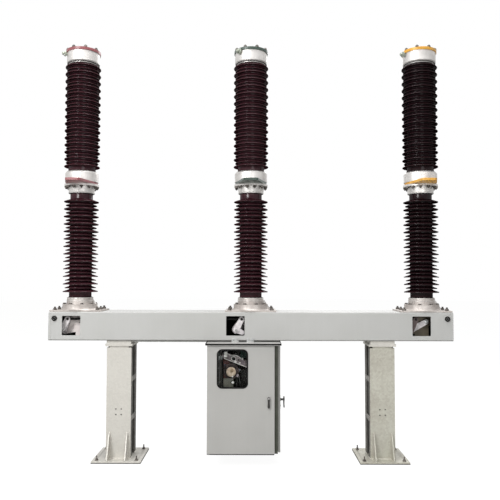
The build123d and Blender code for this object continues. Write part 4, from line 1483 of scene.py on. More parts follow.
# ---- Linkage -------------------------------------------------------------
@dataclass
class Linkage:
    """The levers on the crank shafts and the rods that join them."""

    hub_r: float = 40.0
    eye_reach: float = 118.0
    eye_angle: float = 64.0
    drive_reach: float = 72.0
    drive_angle: float = 20.0
    long_reach: float = 181.0
    long_angle: float = 26.6
    cheek_radii: Point2 = (30.0, 26.0)
    cheek_gap: float = 1.5
    cheek_thick: float = 8.0
    eye_hole_r: float = 11.0
    heel: Point2 = (62.0, -22.0)
    heel_r: float = 22.0
    spacer_r: float = 27.0
    bar_radii: Point2 = (34.0, 24.0)
    bar_thick: float = 4.0
    pin_r: float = 9.5
    pin_bolt: float = 12.0
    long_pin_r: float = 11.5
    long_bolt: float = 20.0
    drive_bolt: float = 16.0
    drive_ends: float = 44.0
    clip: tuple[Point2, ...] = ((0, 0), (14, 0), (14, 2.2), (8, 2.2), (8, 3.4), (0, 3.4))

    def coat(self, phase: Phase) -> SandCasting:
        """Gives the finish of a pole's lever: the right one is dark brown."""
        return IRON_DARK_BROWN if phase.side == "right" else LEVER_IRON

    def build(self) -> None:
        """Dresses the levers and rods and adds their cheeks, pins and washers."""
        for phase in PHASES:
            dress([f"crank_lever_{phase.side}"], self.coat(phase), 2.5)
        dress(["output_lever"], PHOSPHATE, 2.0)
        dress(["phase_rod", "drive_rod"], BLACKED, 1.0)
        bodies = (Body.LEVER_LEFT, Body.LEVER_MIDDLE, Body.LEVER_RIGHT)
        rod, drive = Form(), Form()
        face = Box.of("phase_rod").low.y
        shaft_z = Box.of("crank_lever_left").low.z + self.hub_r
        for phase, body in zip(PHASES, bodies):
            lever = Box.of(f"crank_lever_{phase.side}")
            hub = (lever.low.x + self.hub_r, shaft_z)
            x, z = polar(hub, self.eye_reach, self.eye_angle)
            form = Form()
            front = self.build_cheek(phase, body, hub, (lever.low.y, face), form)
            shank = face - front + 1
            rod.turn(plug(self.pin_r, shank), (x, face, z), FORWARD, 24)
            rod.bolt((x, front - 1, z), FORWARD, self.pin_bolt)
            self.boss(form, (x, z), lever.high.y)
            if phase.side == "right":
                x, z = polar(hub, self.long_reach, self.long_angle)
                near = lever.low.y
                bar_face = near - self.bar_thick
                outline = strap(hub, (x, z), self.bar_radii)
                bar = Form().extrude(outline, (bar_face, near + 0.5))
                made = bar.piece("lever_bar_right", LEVER_IRON, Slot.CASTING, body=body)
                hole = plug(self.spacer_r - 0.2, 10, -5)
                cut(made, Form().turn(hole, (hub[0], near, hub[1]), FORWARD, 32))
                round_edges(made, 1.0)
                form.bolt((x, bar_face, z), FORWARD, self.long_bolt)
                form.turn(plug(self.long_pin_r, 34), (x, near, z), BACKWARD, 24)
            if phase.side == "middle":
                x, z = polar(hub, self.drive_reach, self.drive_angle)
                drive.bolt((x, face, z), FORWARD, self.drive_bolt)
                drop = Box.of("drive_rod").size.z - self.drive_ends
                drive.turn(self.clip, (x, face, z - drop), FORWARD, 24)
            form.piece(f"lever_fittings_{phase.side}", BOLT_ZINC, Slot.ZINC, body=body)
        rod.piece("phase_rod_pins", BLACKED, Slot.ZINC, body=Body.PHASE_LINK)
        drive.piece("drive_rod_pins", BLACKED, Slot.ZINC, body=Body.DRIVE_LINK)
        self.build_case_plates(shaft_z)
        output = Box.of("output_lever")
        form = Form()
        hub = (output.low.x + self.hub_r, output.low.z + self.hub_r)
        self.retainer(form, form, hub, output.low.y)
        form.piece("output_lever_fittings", BLACKED, Slot.ZINC, body=Body.OUTPUT_ARM)

    def build_cheek(
        self, phase: Phase, body: Body, hub: Point2, faces: Point2, bolts: Form
    ) -> float:
        """Makes the cheek in front of a lever's rod, its spacer and its retaining disc.

        Args:
            phase: The lever's pole.
            body: The lever's body.
            hub: The shaft's X and Z.
            faces: The Y of the lever's front and of the rod's front.
            bolts: The form that takes the retaining bolt.

        Returns:
            The Y of the cheek's front.
        """
        back = faces[1] - self.cheek_gap
        front = back - self.cheek_thick
        eye = polar(hub, self.eye_reach, self.eye_angle)
        cheek = Form().extrude(strap(hub, eye, self.cheek_radii), (front, back))
        made = cheek.piece(f"lever_cheek_{phase.side}", self.coat(phase), Slot.CASTING, body=body)
        hole = plug(self.eye_hole_r, 20)
        cut(made, Form().turn(hole, (eye[0], back + 5, eye[1]), FORWARD, 24))
        round_edges(made, 1.5)
        depth = faces[0] - back
        profile = [(0, 5), (21, 5), (21, 0), (self.spacer_r, 0), (self.spacer_r, depth), (0, depth)]
        spacer = Form().turn(profile, (hub[0], faces[0], hub[1]), FORWARD, 32)
        if phase.side == "middle":
            heel = polar(hub, *self.heel)
            outline = strap(hub, heel, (self.cheek_radii[0] - 1, self.heel_r))
            spacer.extrude(outline, (front + 1, back - 0.5))
        self.retainer(bolts, spacer, hub, front)
        spacer.piece(f"lever_spacer_{phase.side}", self.coat(phase), Slot.CASTING, 1.5, body=body)
        return front

    def build_case_plates(self, shaft_z: float) -> None:
        """Makes a dark plate behind the right lever, painted shade in the right crank case, and the
        cover on the left one.

        Args:
            shaft_z: The level of the crank shafts.
        """
        right, left = Box.of("crank_lever_right"), Box.of("crank_lever_left")
        front = Box.of("beam_front_plate")
        hub_x = right.low.x + self.hub_r
        # Painted shade: this plate takes the dark case finish.
        screen = Form().block(
            (hub_x + 60, hub_x + 196), (right.high.y + 9, right.high.y + 15),
            (front.low.z + 9, shaft_z + 30),
        )
        screen.piece("case_screen", CASE_PAINTED_SHADE, Slot.CASTING, 1.5)
        x, z = left.low.x + self.hub_r + 174, front.centre.z
        cover = Form().extrude(rounded((x, z), (126, 236), 12), (left.high.y + 3, left.high.y + 7))
        cover.piece("case_cover", CRANK_CASE, Slot.CASTING, 1.0)

    def retainer(self, form: Form, disc: Form, hub: Point2, face: float) -> None:
        """Adds the disc and bolt that hold a lever on its shaft.

        Args:
            form: The form that takes the bolt.
            disc: The form that takes the disc.
            hub: The shaft's X and Z.
            face: The Y of the lever's front.
        """
        profile = [(20.5, 0), (26, 0), (26, 3.5), (24, 4.8), (0, 4.8), (0, 4.2), (20.5, 4.2)]
        disc.turn(profile, (hub[0], face, hub[1]), FORWARD, 32)
        form.bolt((hub[0], face - 4.8, hub[1]), FORWARD, self.pin_bolt)

    def boss(self, form: Form, eye: Point2, face: float) -> None:
        """Adds the washer behind a pin.

        Args:
            form: The form to add to.
            eye: The pin's X and Z.
            face: The Y of the lever's back.
        """
        washer = [(10.5, 0), (17, 0), (17, 2.5), (10.5, 2.5)]
        form.turn(washer, (eye[0], face, eye[1]), BACKWARD, 24, closed=True)


# ---- Cabinet -------------------------------------------------------------
@dataclass
class Cabinet:
    """The operating cabinet: sheet walls, two doors, the window and the handles."""

    sheet: float = 3.0
    window_size: Point2 = (281.0, 353.0)
    window_corner: float = 45.0
    window_left: float = 95.0
    window_top: float = 34.0
    seal_out: float = 5.0
    seal_in: float = 9.0
    handle_drop: float = 88.0
    side_tip: float = 32.0
    gland_plate: Point2 = (300.0, 150.0)
    glands: int = 5
    rear_cover: Point2 = (520.0, 820.0)
    louvre_rows: int = 7
    louvre_pitch: float = 22.0
    screw: float = 6.0

    def build(self) -> None:
        """Dresses the cabinet's nodes and adds its fittings."""
        shell = ["cabinet_walls", "cabinet_floor", "cabinet_roof"]
        frames = ["cabinet_front_frame", "cabinet_side_frame"]
        dress(shell + frames + ["front_door", "side_door"], CABINET_COAT, 1.2)
        dress(["door_hinge_pins"], BOLT_ZINC)
        dress(["door_window"], PANE)
        self.build_roof_trim()
        self.build_window_seal()
        self.build_frame_seals()
        self.build_front_handle()
        self.build_side_handle()
        self.build_stiffeners()
        self.build_hanger_bolts()
        self.build_underside()
        self.build_rear_cover()

    def build_roof_trim(self) -> None:
        """Makes the rubber edging of the roof, the strip under the door and the corner's."""
        roof, r = Box.of("cabinet_roof"), 2.4
        low, high = roof.low, roof.high
        span = (high.z - 7, high.z + 7.5)
        form = Form().block((low.x - r, high.x + r), (low.y - r, low.y + 1.5), span)
        for face, toward in ((low.x, -1), (high.x, 1)):
            side = sorted((face - toward * 1.5, face + toward * r))
            form.block((side[0], side[1]), (low.y, -Box.of("beam_front_plate").high.y), span)
        door, floor = Box.of("front_door"), Box.of("cabinet_floor")
        sill = (door.low.x + 1, door.high.x - 1)
        form.block(sill, (floor.low.y + 1, floor.low.y + 30), (floor.low.z - 4, floor.high.z + 0.5))
        form.piece("roof_edging", RUBBER, Slot.DARK, 0.8)
        frame_box, side_door = Box.of("cabinet_front_frame"), Box.of("side_door")
        corner = Form().block(
            (frame_box.high.x - 1, side_door.low.x - 4),
            (frame_box.low.y - 4, side_door.low.y - 6), (floor.low.z, door.high.z),
        )
        corner.piece("corner_moulding", CORNER_RUBBER, Slot.DARK, 2.0)

    def build_window_seal(self) -> None:
        """Makes the rubber section that holds the window in the front door."""
        door = Box.of("front_door")
        face = Box.of("front_handle").high.y + 9
        centre = (
            door.low.x + self.window_left + self.window_size[0] / 2,
            door.high.z - self.window_top - self.window_size[1] / 2,
        )
        form = Form()
        grown = [(side + 2 * self.seal_out) for side in self.window_size]
        shrunk = [(side - 2 * self.seal_in) for side in self.window_size]
        outer = rounded(centre, (grown[0], grown[1]), self.window_corner + self.seal_out, 12)
        inner = rounded(centre, (shrunk[0], shrunk[1]), self.window_corner - self.seal_in, 12)
        form.frame_of(outer, inner, (face + 0.5, face - 3.0), crown=-1.5)
        lip = rounded(centre, self.window_size, self.window_corner, 12)
        form.frame_of(lip, inner, (face + self.sheet + 1, face))
        form.piece("window_seal", RUBBER, Slot.DARK, body=Body.FRONT_DOOR)

    def build_frame_seals(self) -> None:
        """Makes the bulb seals on the frames behind both doors."""
        form = Form()
        front, side = Box.of("cabinet_front_frame"), Box.of("cabinet_side_frame")
        for box, axis, face, toward in (
            (front, 0, front.low.y, -1), (side, 1, side.high.x, 1),
        ):
            lows = (box.low[axis] + 20, box.low.z + 20)
            highs = (box.high[axis] - 20, box.high.z - 20)
            centre = ((lows[0] + highs[0]) / 2, (lows[1] + highs[1]) / 2)
            size = (highs[0] - lows[0], highs[1] - lows[1])
            outer = rounded(centre, size, 16, 5)
            inner = rounded(centre, (size[0] - 16, size[1] - 16), 8, 5)
            plane = Axis.Y if axis == 0 else Axis.X
            form.frame_of(outer, inner, (face, face + toward * 5), plane, crown=toward * 4)
        form.piece("door_seals", RUBBER, Slot.DARK)

    def grip(
        self, form: Form, pivot: Triple, out: Triple, across: Triple
    ) -> None:
        """Adds a swing handle: a round boss and a grip that curves away below it.

        Args:
            form: The form to add to.
            pivot: The pivot's point on the door's pad.
            out: Away from the door.
            across: Along the door, level.
        """
        away, foot = Vector(out), Vector(pivot)
        drop = self.handle_drop
        steps = ((15, 13.5, 5.0), (10, 14.0, 8.0), (0, 14.2, 11.2), (-14, 14.0, 10.5))
        steps += ((-0.35 * drop, 13.2, 8.5), (-0.62 * drop, 13.0, 9.5), (-0.86 * drop, 13.8, 11.0))
        steps += ((-0.97 * drop, 14.6, 9.5), (-1.02 * drop, 15.0, 5.0))
        path = [foot + away * reach + Vector(UP) * rise for rise, reach, _ in steps]
        form.sweep(path, [r for _, _, r in steps], 16, side=across, flat=0.42)
        boss = [(0, 0), (12.5, 0), (12.5, 6), (10.5, 9), (10, 14), (0, 14)]
        form.turn(boss, foot, out, 28)
        form.turn([(0, 14), (6, 14), (6, 17), (4.6, 18.2), (0, 18.2)], foot, out, 20)

    def build_front_handle(self) -> None:
        """Makes the front door's handle in place of its node, and its lock barrel."""
        box = Box.of("front_handle")
        x = box.centre.x
        pivot = (x, box.high.y + 5, box.high.z - box.size.x / 2)
        form = Form()
        self.grip(form, pivot, FORWARD, RIGHT)
        form.piece(
            "front_door_handle", BLACK_NICKEL, Slot.HANDLE, body=Body.FRONT_LOCK,
            stands_for=["front_handle"],
        )
        self.lock(Form(), (x, pivot[1], pivot[2] - 62), FORWARD).piece(
            "front_lock_barrel", BLACK_NICKEL, Slot.HANDLE, body=Body.FRONT_DOOR
        )

    def build_side_handle(self) -> None:
        """Makes the side door's handle, on its long stem, in place of its node."""
        box = Box.of("side_handle")
        y, out = box.centre.y, Vector(RIGHT)
        pivot = Vector((box.low.x - 5, y, box.high.z - self.side_tip))
        reach = box.high.x - pivot.x
        drop = pivot.z - box.low.z
        steps = ((self.side_tip - 1, reach - 9, 5.0), (self.side_tip - 5, reach - 8, 9.0))
        steps += ((8, reach - 7.5, 12.5), (-0.3 * drop, reach - 8.5, 11.0))
        steps += ((-0.62 * drop, reach - 8, 9.5), (-0.88 * drop, reach - 6.5, 11.0))
        steps += ((-0.96 * drop, reach - 6, 9.5), (-drop + 1, reach - 5.5, 5.0))
        path = [pivot + out * far + Vector(UP) * rise for rise, far, _ in steps]
        form = Form().sweep(path, [r for _, _, r in steps], 16, side=BACKWARD, flat=0.6)
        stem = [(0, 0), (13, 0), (13, 6), (10, 9), (9.5, reach - 13), (12, reach - 12)]
        form.turn([*stem, (12, reach - 3), (0, reach - 2)], pivot, out, 28)
        form.piece(
            "side_door_handle", BLACK_NICKEL, Slot.HANDLE, body=Body.SIDE_LOCK,
            stands_for=["side_handle"],
        )
        self.lock(Form(), (pivot.x, y, pivot.z - 58), out).piece(
            "side_lock_barrel", BLACK_NICKEL, Slot.HANDLE, body=Body.SIDE_DOOR
        )

    def lock(self, form: Form, place: Triple, out: Triple) -> Form:
        """Adds a lock barrel with its key slot.

        Args:
            form: The form to add to.
            place: The barrel's foot.
            out: Away from the door.

        Returns:
            The form.
        """
        barrel = [(0, 0), (7.5, 0), (7.5, 2.4), (6.5, 3.2), (5, 3.2), (4.6, 2.2), (1, 2.2)]
        return form.turn([*barrel, (0.8, 1.0), (0, 1.0)], place, out, 24)

    def build_stiffeners(self) -> None:
        """Makes the hat sections inside both doors."""
        door = Box.of("front_door")
        back = Box.of("door_window").low.y
        form = Form()
        low, high = door.low.z + 30, door.low.z + 560
        for x in (door.low.x + 150, door.low.x + 470):
            section = [(x - 22, back), (x - 14, back + 11), (x + 14, back + 11), (x + 22, back)]
            form.extrude(section, (low, high), Axis.Z)
        paint = (CABINET_COAT, Slot.CABINET_PAINT, 1.0)
        form.piece("front_door_stiffeners", *paint, Body.FRONT_DOOR)
        form = Form()
        side = Box.of("side_door")
        skin = Box.of("side_handle").low.x - 9 - self.sheet
        for y in (side.low.y + 180, side.low.y + 430):
            section = [(skin, y - 22), (skin - 11, y - 14), (skin - 11, y + 14), (skin, y + 22)]
            form.extrude(section, (side.low.z + 30, side.high.z - 40), Axis.Z)
        form.piece("side_door_stiffeners", *paint, Body.SIDE_DOOR)

    def build_hanger_bolts(self) -> None:
        """Makes the bolts that hold the cabinet's hangers to the beam and the roof."""
        box, beam = Box.of("cabinet_hangers"), Box.of("beam_front_plate")
        form = Form()
        low = box.low.z + 8
        centres = (box.low.x + 35, box.high.x - 35)
        for x in centres:
            for offset in (-19, 19):
                for toward, wall in ((-1, beam.low.y), (1, -beam.low.y)):
                    face = wall + toward * 10
                    form.bolt((x + offset, face, low + 17), (0, toward, 0), 10, start=offset)
                    form.bolt((x + offset, face + toward * 15, low), UP, 8, stud=4, start=offset)
        form.piece("hanger_bolts", BOLT_ZINC, Slot.ZINC)

    def build_underside(self) -> None:
        """Makes the gland plate under the cabinet with its cable glands, and the earth stud."""
        floor = Box.of("cabinet_floor")
        x, y, z = floor.centre.x - 60, floor.centre.y + 140, floor.low.z
        plate = rounded((x, y), self.gland_plate, 6, 4)
        form = Form().extrude(plate, (z, z - self.sheet), Axis.Z)
        form.piece("gland_plate", CABINET_COAT, Slot.CABINET_PAINT, 0.8)
        glands = Form()
        for index in range(self.glands):
            place = (x - 110 + 55 * index, y, z - 3)
            big = 17 if index % 2 else 14
            glands.turn(plug(big, 9), place, DOWN, 6)
            dome = [(0, 9), (big * 0.82, 9), (big * 0.82, 20), (big * 0.6, 27), (0, 27)]
            glands.turn(dome, place, DOWN, 24)
        glands.piece("cable_glands", SHEATH_BLACK, Slot.DARK)
        screws = Form()
        for dx in (-140, -47, 47, 140):
            for dy in (-66, 66):
                screws.bolt((x + dx, y + dy, z - 3), DOWN, self.screw, start=dx)
        walls = Box.of("cabinet_walls")
        screws.bolt((walls.low.x, walls.low.y + 90, walls.low.z + 60), LEFT, 10)
        screws.piece("underside_screws", BOLT_ZINC, Slot.ZINC)

    def build_rear_cover(self) -> None:
        """Makes the bolted cover on the rear wall and the louvres on the left wall."""
        walls = Box.of("cabinet_walls")
        x, z, face = walls.centre.x, walls.centre.z, walls.high.y
        cover = rounded((x, z), self.rear_cover, 12, 5)
        form = Form().extrude(cover, (face, face + self.sheet))
        form.piece("rear_cover", CABINET_COAT, Slot.CABINET_PAINT, 1.0)
        screws = Form()
        for side in (-1, 1):
            for index in range(6):
                place = (x + side * 246, face + 3, z - 390 + 156 * index)
                screws.bolt(place, BACKWARD, self.screw, start=11 * index)
            for index in (-1, 1):
                place = (x + 82 * index, face + 3, z + side * 392)
                screws.bolt(place, BACKWARD, self.screw, start=19 * index)
        screws.piece("rear_cover_screws", BOLT_ZINC, Slot.ZINC)
        louvres = Form()
        wall = walls.low.x
        for group in (walls.low.z + 150, walls.high.z - 300):
            for row in range(self.louvre_rows):
                low = group + row * self.louvre_pitch
                profile = [(0, low), (-7.5, low + 1.5), (-7.5, low + 3.5), (0, low + 13)]
                section = [(wall + dx, level) for dx, level in profile]
                louvres.extrude(section, (-90, 90))
        louvres.piece("side_louvres", CABINET_COAT, Slot.CABINET_PAINT, 0.6)


# ---- Mechanism -----------------------------------------------------------
@dataclass
class Mechanism:
    """The spring gear in the cabinet, as the window and the open doors show it."""

    face: float = -200.0
    spring_r: float = 52.0
    spring_wire: float = 7.0
    spring_long: float = 250.0
    spring_turns: int = 11
    motor_r: float = 58.0
    cam: Vector = field(init=False)
    frame: Box = field(init=False)

    def __post_init__(self) -> None:
        """Reads the places that the parts are set out from."""
        self.cam = Box.of("mechanism_cam").centre
        self.frame = Box.of("mechanism_frame")

    def at(self, dx: float, dz: float, y: float) -> Point3:
        """Gives the point at an offset from the cam's centre line, at a depth."""
        return self.cam.x + dx, y, self.cam.z + dz

    def slab(self, form: Form, corner: Point3, size: Point3) -> Form:
        """Adds a block from its low corner: its offset from the cam, and its depth."""
        return form.block(*[(low, low + far) for low, far in zip(self.at(*corner), size)])

    def build(self) -> None:
        """Dresses the mechanism's nodes and adds its parts."""
        dress(["mechanism_frame"], PHOSPHATE, 1.0)
        dress(["mechanism_cam"], OILED_PRIMER, 1.0)
        dress(["mechanism_brace"], DARK_CASTING, 3.0)
        self.build_rails()
        self.build_head()
        self.build_cam_cap()
        self.build_latch()
        self.build_springs()
        self.build_motor()
        self.build_control_panel()
        self.build_bolts()

    def build_rails(self) -> None:
        """Makes the two upright rails beside the left side plate, with their clips."""
        form = Form()
        left, low, high = self.frame.low.x, self.frame.low.z + 40, self.frame.high.z - 8
        for start, wide in ((left + 3, 4), (left + 13, 3), (left - 17, 4)):
            form.block((start, start + wide), (self.face - 8, self.face - 5), (low, high))
        form.piece("side_rail", BOLT_WEATHERED_SHADED, Slot.GALVANISED, 0.8)
        duct = Form().block((left - 24, left - 6), (self.face - 2, self.face + 22), (low, high))
        duct.piece("wiring_duct", CASE_GREY, Slot.DARK, 1.5)
        wires = Form()
        for index in range(5):
            x = left - 22 + 3.6 * index
            path = [
                (x + 2.2 * sin(step * 0.9 + index), self.face - 5, low + (high - low) * step / 21)
                for step in range(22)
            ]
            wires.sweep(path, 1.8, 7)
        wires.piece("duct_wires", SHEATH_BLACK, Slot.DARK)
        clips = Form()
        for start in (-118, -98):
            self.slab(clips, (start, 118, self.face - 14), (15, 12, 34))
        for index in range(7):
            z = low + 60 + (high - low - 120) * index / 6
            clips.block((left - 25, left - 5), (self.face - 8.5, self.face - 6.8), (z, z + 7))
        clips.piece("wire_clips", CASE_GREY, Slot.DARK, 0.5)

    def build_head(self) -> None:
        """Makes the brace's bracket, painted highlights, painted holes and web, the limit switch
        and the cover beside it.
        """
        bracket = self.slab(Form(), (-71, 134, -166), (34, 14, 54))
        bracket.piece("brace_bracket", CASTING, Slot.CASTING, 2.0)
        # Painted highlights: bright rods along the brace's edges and crest, and a bright ring,
        # drawn where the light catches it.
        bright = Form()
        brace = Box.of("mechanism_brace")
        front = brace.low.y
        start = (brace.low.x + 31, brace.high.z - 31)
        end = (brace.high.x - 31, brace.low.z + 31)
        run = Vector((end[0] - start[0], 0, end[1] - start[1]))
        out = Vector((-run.z, 0, run.x)).normalized()
        for reach in (27, -27):
            foot = Vector((start[0], front - 1, start[1])) + out * reach
            bright.sweep([foot + run * t / 8 for t in range(9)], 3.4, 8)
        crest = ((2, 147), (12, 152), (24, 154), (42, 152), (59, 147), (78, 137), (95, 123))
        path = [self.at(dx, dz, front - 9) for dx, dz in crest]
        bright.sweep(path, [4.5, 6.0, 5.5, 4.0, 5.0, 4.0, 3.4], 10)
        bright.ring(self.at(24, 120, front - 9), FORWARD, 20, 3.0, 32)
        bright.piece("brace_edges", STEEL_PAINTED_GLINT, Slot.ZINC)
        rim = (*crest, (108, 100), (70, 78), (24, 92), (-6, 112))
        outline = [self.at(dx, dz, 0) for dx, dz in rim]
        web = Form().extrude([(x, z) for x, _, z in outline], (front, front - 9))
        web.piece("brace_web", DARK_CASTING, Slot.DARK, 1.0)
        # Painted shade: flat black discs on the brace stand for the dark of its holes.
        bore = Form().turn(plug(18, 1.5), self.at(24, 120, front - 9), FORWARD, 28)
        bore.turn(plug(9, 1.5), self.at(72, 108, front - 9), FORWARD, 24)
        bore.piece("brace_bores", BLACKED, Slot.DARK)
        switch = self.slab(Form(), (99, 62, front - 14), (38, 14, 46))
        switch.piece("limit_switch", CASE_MAUVE, Slot.DARK, 2.0)
        cover = self.slab(Form(), (92, 122, -146), (74, 12, 86))
        cover.piece("coil_cover", CASE_GREEN, Slot.DARK, 2.0)

    def build_cam_cap(self) -> None:
        """Makes the turned face of the cam: a dish, its lip and its crescent."""
        form = Form()
        dish = [(0, 5), (18, 5.5), (32, 7), (43, 6), (47, 3), (47.6, 0), (0, 0)]
        form.turn(dish, self.at(0, 0, self.face), FORWARD, 56)
        form.ring(self.at(9, 13, self.face - 6), FORWARD, 20, 3.2, 40)
        form.piece("cam_face", BRONZE, Slot.BRONZE)
        crescent = Form().turn(plug(18, 1), self.at(9, 13, self.face - 6), FORWARD, 36)
        crescent.piece("cam_recess", OILED_BRONZE, Slot.BRONZE)
        knob = [(0, 0), (13, 0), (13, 10), (9, 14), (0, 14)]
        stop = Form().turn(knob, self.at(63, -36, -180), FORWARD, 24)
        stop.piece("buffer_stop", CASE_MAUVE, Slot.DARK)

    def build_latch(self) -> None:
        """Makes the primed gear case, the latch lever and the plates below the cam."""
        case = Form()
        x, y, z = self.at(-76, 20, -144)
        case.extrude(rounded((x + 30, z + 46), (60, 96), 10, 5), (y, y + 30))
        x, y, z = self.at(-72, -62, -166)
        case.extrude(rounded((x + 26, z + 28), (56, 68), 12, 5), (y, y + 40))
        cup = [(0, 0), (20, 0), (20, 6), (12, 6), (12, 3), (0, 3)]
        case.turn(cup, self.at(-52, 78, -144), FORWARD, 28)
        case.piece("gear_case", PRIMER, Slot.DARK, 2.0)
        lever = Form()
        (ax, y, az), (bx, _, bz) = self.at(4, 50, -158), self.at(84, 2, -158)
        along = Vector((bx - ax, 0, bz - az)).normalized()
        side = Vector((-along.z, 0, along.x)) * 14
        outline = [(ax + side.x, az + side.z), (ax - side.x, az - side.z)]
        outline += [(bx - side.x, bz - side.z), (bx + side.x, bz + side.z)]
        lever.extrude(outline, (y, y + 12))
        for dz, reach in ((46, 50), (60, 44)):
            x, y, z = self.at(-70, dz, -152)
            lever.turn(plug(6, reach), (x, y, z), RIGHT, 18)
        lever.piece("latch_lever", STEEL_BLUED, Slot.DARK, 1.5)
        plate = self.slab(Form(), (-74, -150, -176), (96, 6, 84))
        plate.piece("damper_plate", GREEN_GREY, Slot.CABINET_PAINT, 1.5)
        dark = self.slab(Form(), (96, -140, -150), (84, 6, 150))
        dark.turn(plug(19, 5), self.at(15, -104, -176), FORWARD, 32)
        dark.piece("latch_guard", BLACKED, Slot.DARK, 1.5)
        run = ((81, -42, -186), (82, -80, -186), (84, -116, -186), (90, -140, -184))
        tube = Form().sweep([self.at(*point) for point in run], 2.6, 8)
        tube.piece("grease_line", BOLT_ZINC, Slot.ZINC)

    def coil(self, centre: Point2, radius: float, wire: float, span: Point2, turns: int) -> Form:
        """Winds an upright coil spring.

        Args:
            centre: Its X and Y.
            radius: From the axis to the wire's centre.
            wire: The wire's radius.
            span: The lowest and highest level of the wire's centre.
            turns: Turns from end to end.

        Returns:
            A new form that holds the spring.
        """
        steps = 20 * turns
        rise = span[1] - span[0]
        path = [
            (*polar(centre, radius, 360 * turns * step / steps), span[0] + rise * (step / steps))
            for step in range(steps + 1)
        ]
        return Form().sweep(path, wire, 8)

    def build_springs(self) -> None:
        """Makes the small spring beside the cam and the two main springs under the window."""
        x, y, z = self.at(58, -138, -168)
        small = self.coil((x, y), 11.0, 2.6, (z, z + 86), 12)
        small.piece("latch_spring", BLACKED, Slot.DARK)
        for name, x in (("left", self.frame.low.x + 90), ("right", self.frame.high.x - 90)):
            place, foot = (x, -120.0), self.frame.low.z + 150
            span = (foot, foot + self.spring_long)
            main = self.coil(place, self.spring_r, self.spring_wire, span, self.spring_turns)
            main.piece(f"main_spring_{name}", PRIMER, Slot.DARK)
            cups = Form()
            for level, toward in ((span[0] - 8, -1), (span[1] + 8, 1)):
                cup = [(0, 0), (self.spring_r + 10, 0), (self.spring_r + 10, 8), (20, 12), (0, 12)]
                cups.turn(cup, (*place, level), (0, 0, toward), 40)
            cups.turn(plug(13, 310), (*place, foot - 28), UP, 24)
            cups.piece(f"spring_seats_{name}", BOLT_ZINC, Slot.ZINC, 1.0)

    def build_motor(self) -> None:
        """Makes the charging motor on the floor of the frame, with its gear head."""
        level = self.frame.low.z + self.motor_r + 12
        x = self.frame.low.x + 60
        motor, r = Form(), self.motor_r
        body = [(0, 0), (r - 14, 0), (r - 6, 8), (r - 6, 20)]
        for fin in range(9):
            body += [(r, 24 + 14 * fin), (r, 30 + 14 * fin), (r - 6, 31 + 14 * fin)]
            body += [(r - 6, 37 + 14 * fin)]
        body += [(r - 6, 156), (r, 160), (r, 176), (0, 176)]
        motor.turn(body, (x, -110, level), RIGHT, 44)
        motor.block((x + 170, x + 236), (-170, -50), (level - r - 6, level + r + 4))
        motor.block((x + 20, x + 150), (-160, -60), (level - r - 12, level - r + 4))
        motor.piece("charging_motor", CASE_GREY, Slot.DARK, 1.5)

    def build_control_panel(self) -> None:
        """Makes the relays, terminal rows and wiring that face the side door."""
        face = self.frame.high.x + 1
        span = (self.frame.low.z + 220, self.frame.high.z - 90)
        plate = Form().block((face, face + 3), (-170, 160), span)
        plate.piece("control_plate", ZINC_BATH, Slot.GALVANISED, 0.8)
        grey, cream, screws = Form(), Form(), Form()
        wires, blue = Form(), Form()
        top = self.frame.high.z - 150
        for row in range(3):
            level = top - 190 * row
            grey.block((face + 3, face + 8), (-150, 140), (level - 9, level + 9))
            grey.block((face + 3, face + 45), (-165, 155), (level - 96, level - 64))
            for index in range(5 if row < 2 else 24):
                wide, tall, deep = (46, 84, 70) if row < 2 else (9, 52, 42)
                y = -142 + (wide + (8 if row < 2 else 2.4)) * index
                form = grey if row == 1 or (row == 2 and index % 6 == 5) else cream
                span = (level - tall / 2, level + tall / 2)
                form.block((face + 8, face + 8 + deep), (y, y + wide), span)
                for end in (-1, 1):
                    spot = (face + 8 + deep, y + wide / 2, level + end * (tall / 2 - 8))
                    screws.bolt(spot, RIGHT, 4.5)
                lower = level - tall / 2
                path = [(face + 8 + deep / 2, y + wide / 2, lower)]
                path.append((face + 12 + deep / 2, y + wide / 2, lower - 8))
                path.append((face + 30, y + wide / 2, level - 62))
                (blue if index % 3 else wires).sweep(path, 1.7, 7)
        grey.piece("relay_bases", CASE_GREY, Slot.DARK, 0.8)
        cream.piece("relay_cases", CASE_CREAM, Slot.DARK, 0.8)
        screws.piece("terminal_screws", BOLT_ZINC, Slot.ZINC)
        for step in range(9):
            y = 150 + 1.2 * step
            path = [(face + 14 + 3 * step, y, top - 60 - 4 * step)]
            path += [(face + 16 + 2 * step, y + 16, top - 190), (face + 18, y + 14, top - 400)]
            path += [(face + 16, y + 10, self.frame.low.z + 80), (face + 20, y - 8, 140)]
            wires.sweep(path, 3.0, 8)
        wires.piece("control_wires", SHEATH_BLACK, Slot.DARK)
        blue.piece("terminal_wires", SHEATH_BLUE, Slot.DARK)

    def build_bolts(self) -> None:
        """Makes the bright bolts about the cam and the bolts of the side plates."""
        form = Form()
        front = Box.of("mechanism_brace").low.y
        spots = (
            (40, 90, front - 9, 12), (83, 80, front - 2, 9),
            (14, -42, self.face - 4, 8), (17, -104, -181, 12), (110, 120, -146, 8),
            (-62, 150, -166, 8), (-62, 178, -166, 8),
        )
        for index, (dx, dz, y, size) in enumerate(spots):
            form.bolt(self.at(dx, dz, y), FORWARD, size, start=17 * index)
        for x, toward in ((self.frame.low.x, -1), (self.frame.high.x, 1)):
            for level in range(4):
                z = self.frame.low.z + 120 + 250 * level
                form.bolt((x, 172 if toward > 0 else -150, z), (toward, 0, 0), 12, start=9 * level)
        # The bolts take the near white steel, a painted highlight.
        form.piece("mechanism_bolts", STEEL_PAINTED_GLINT, Slot.ZINC)


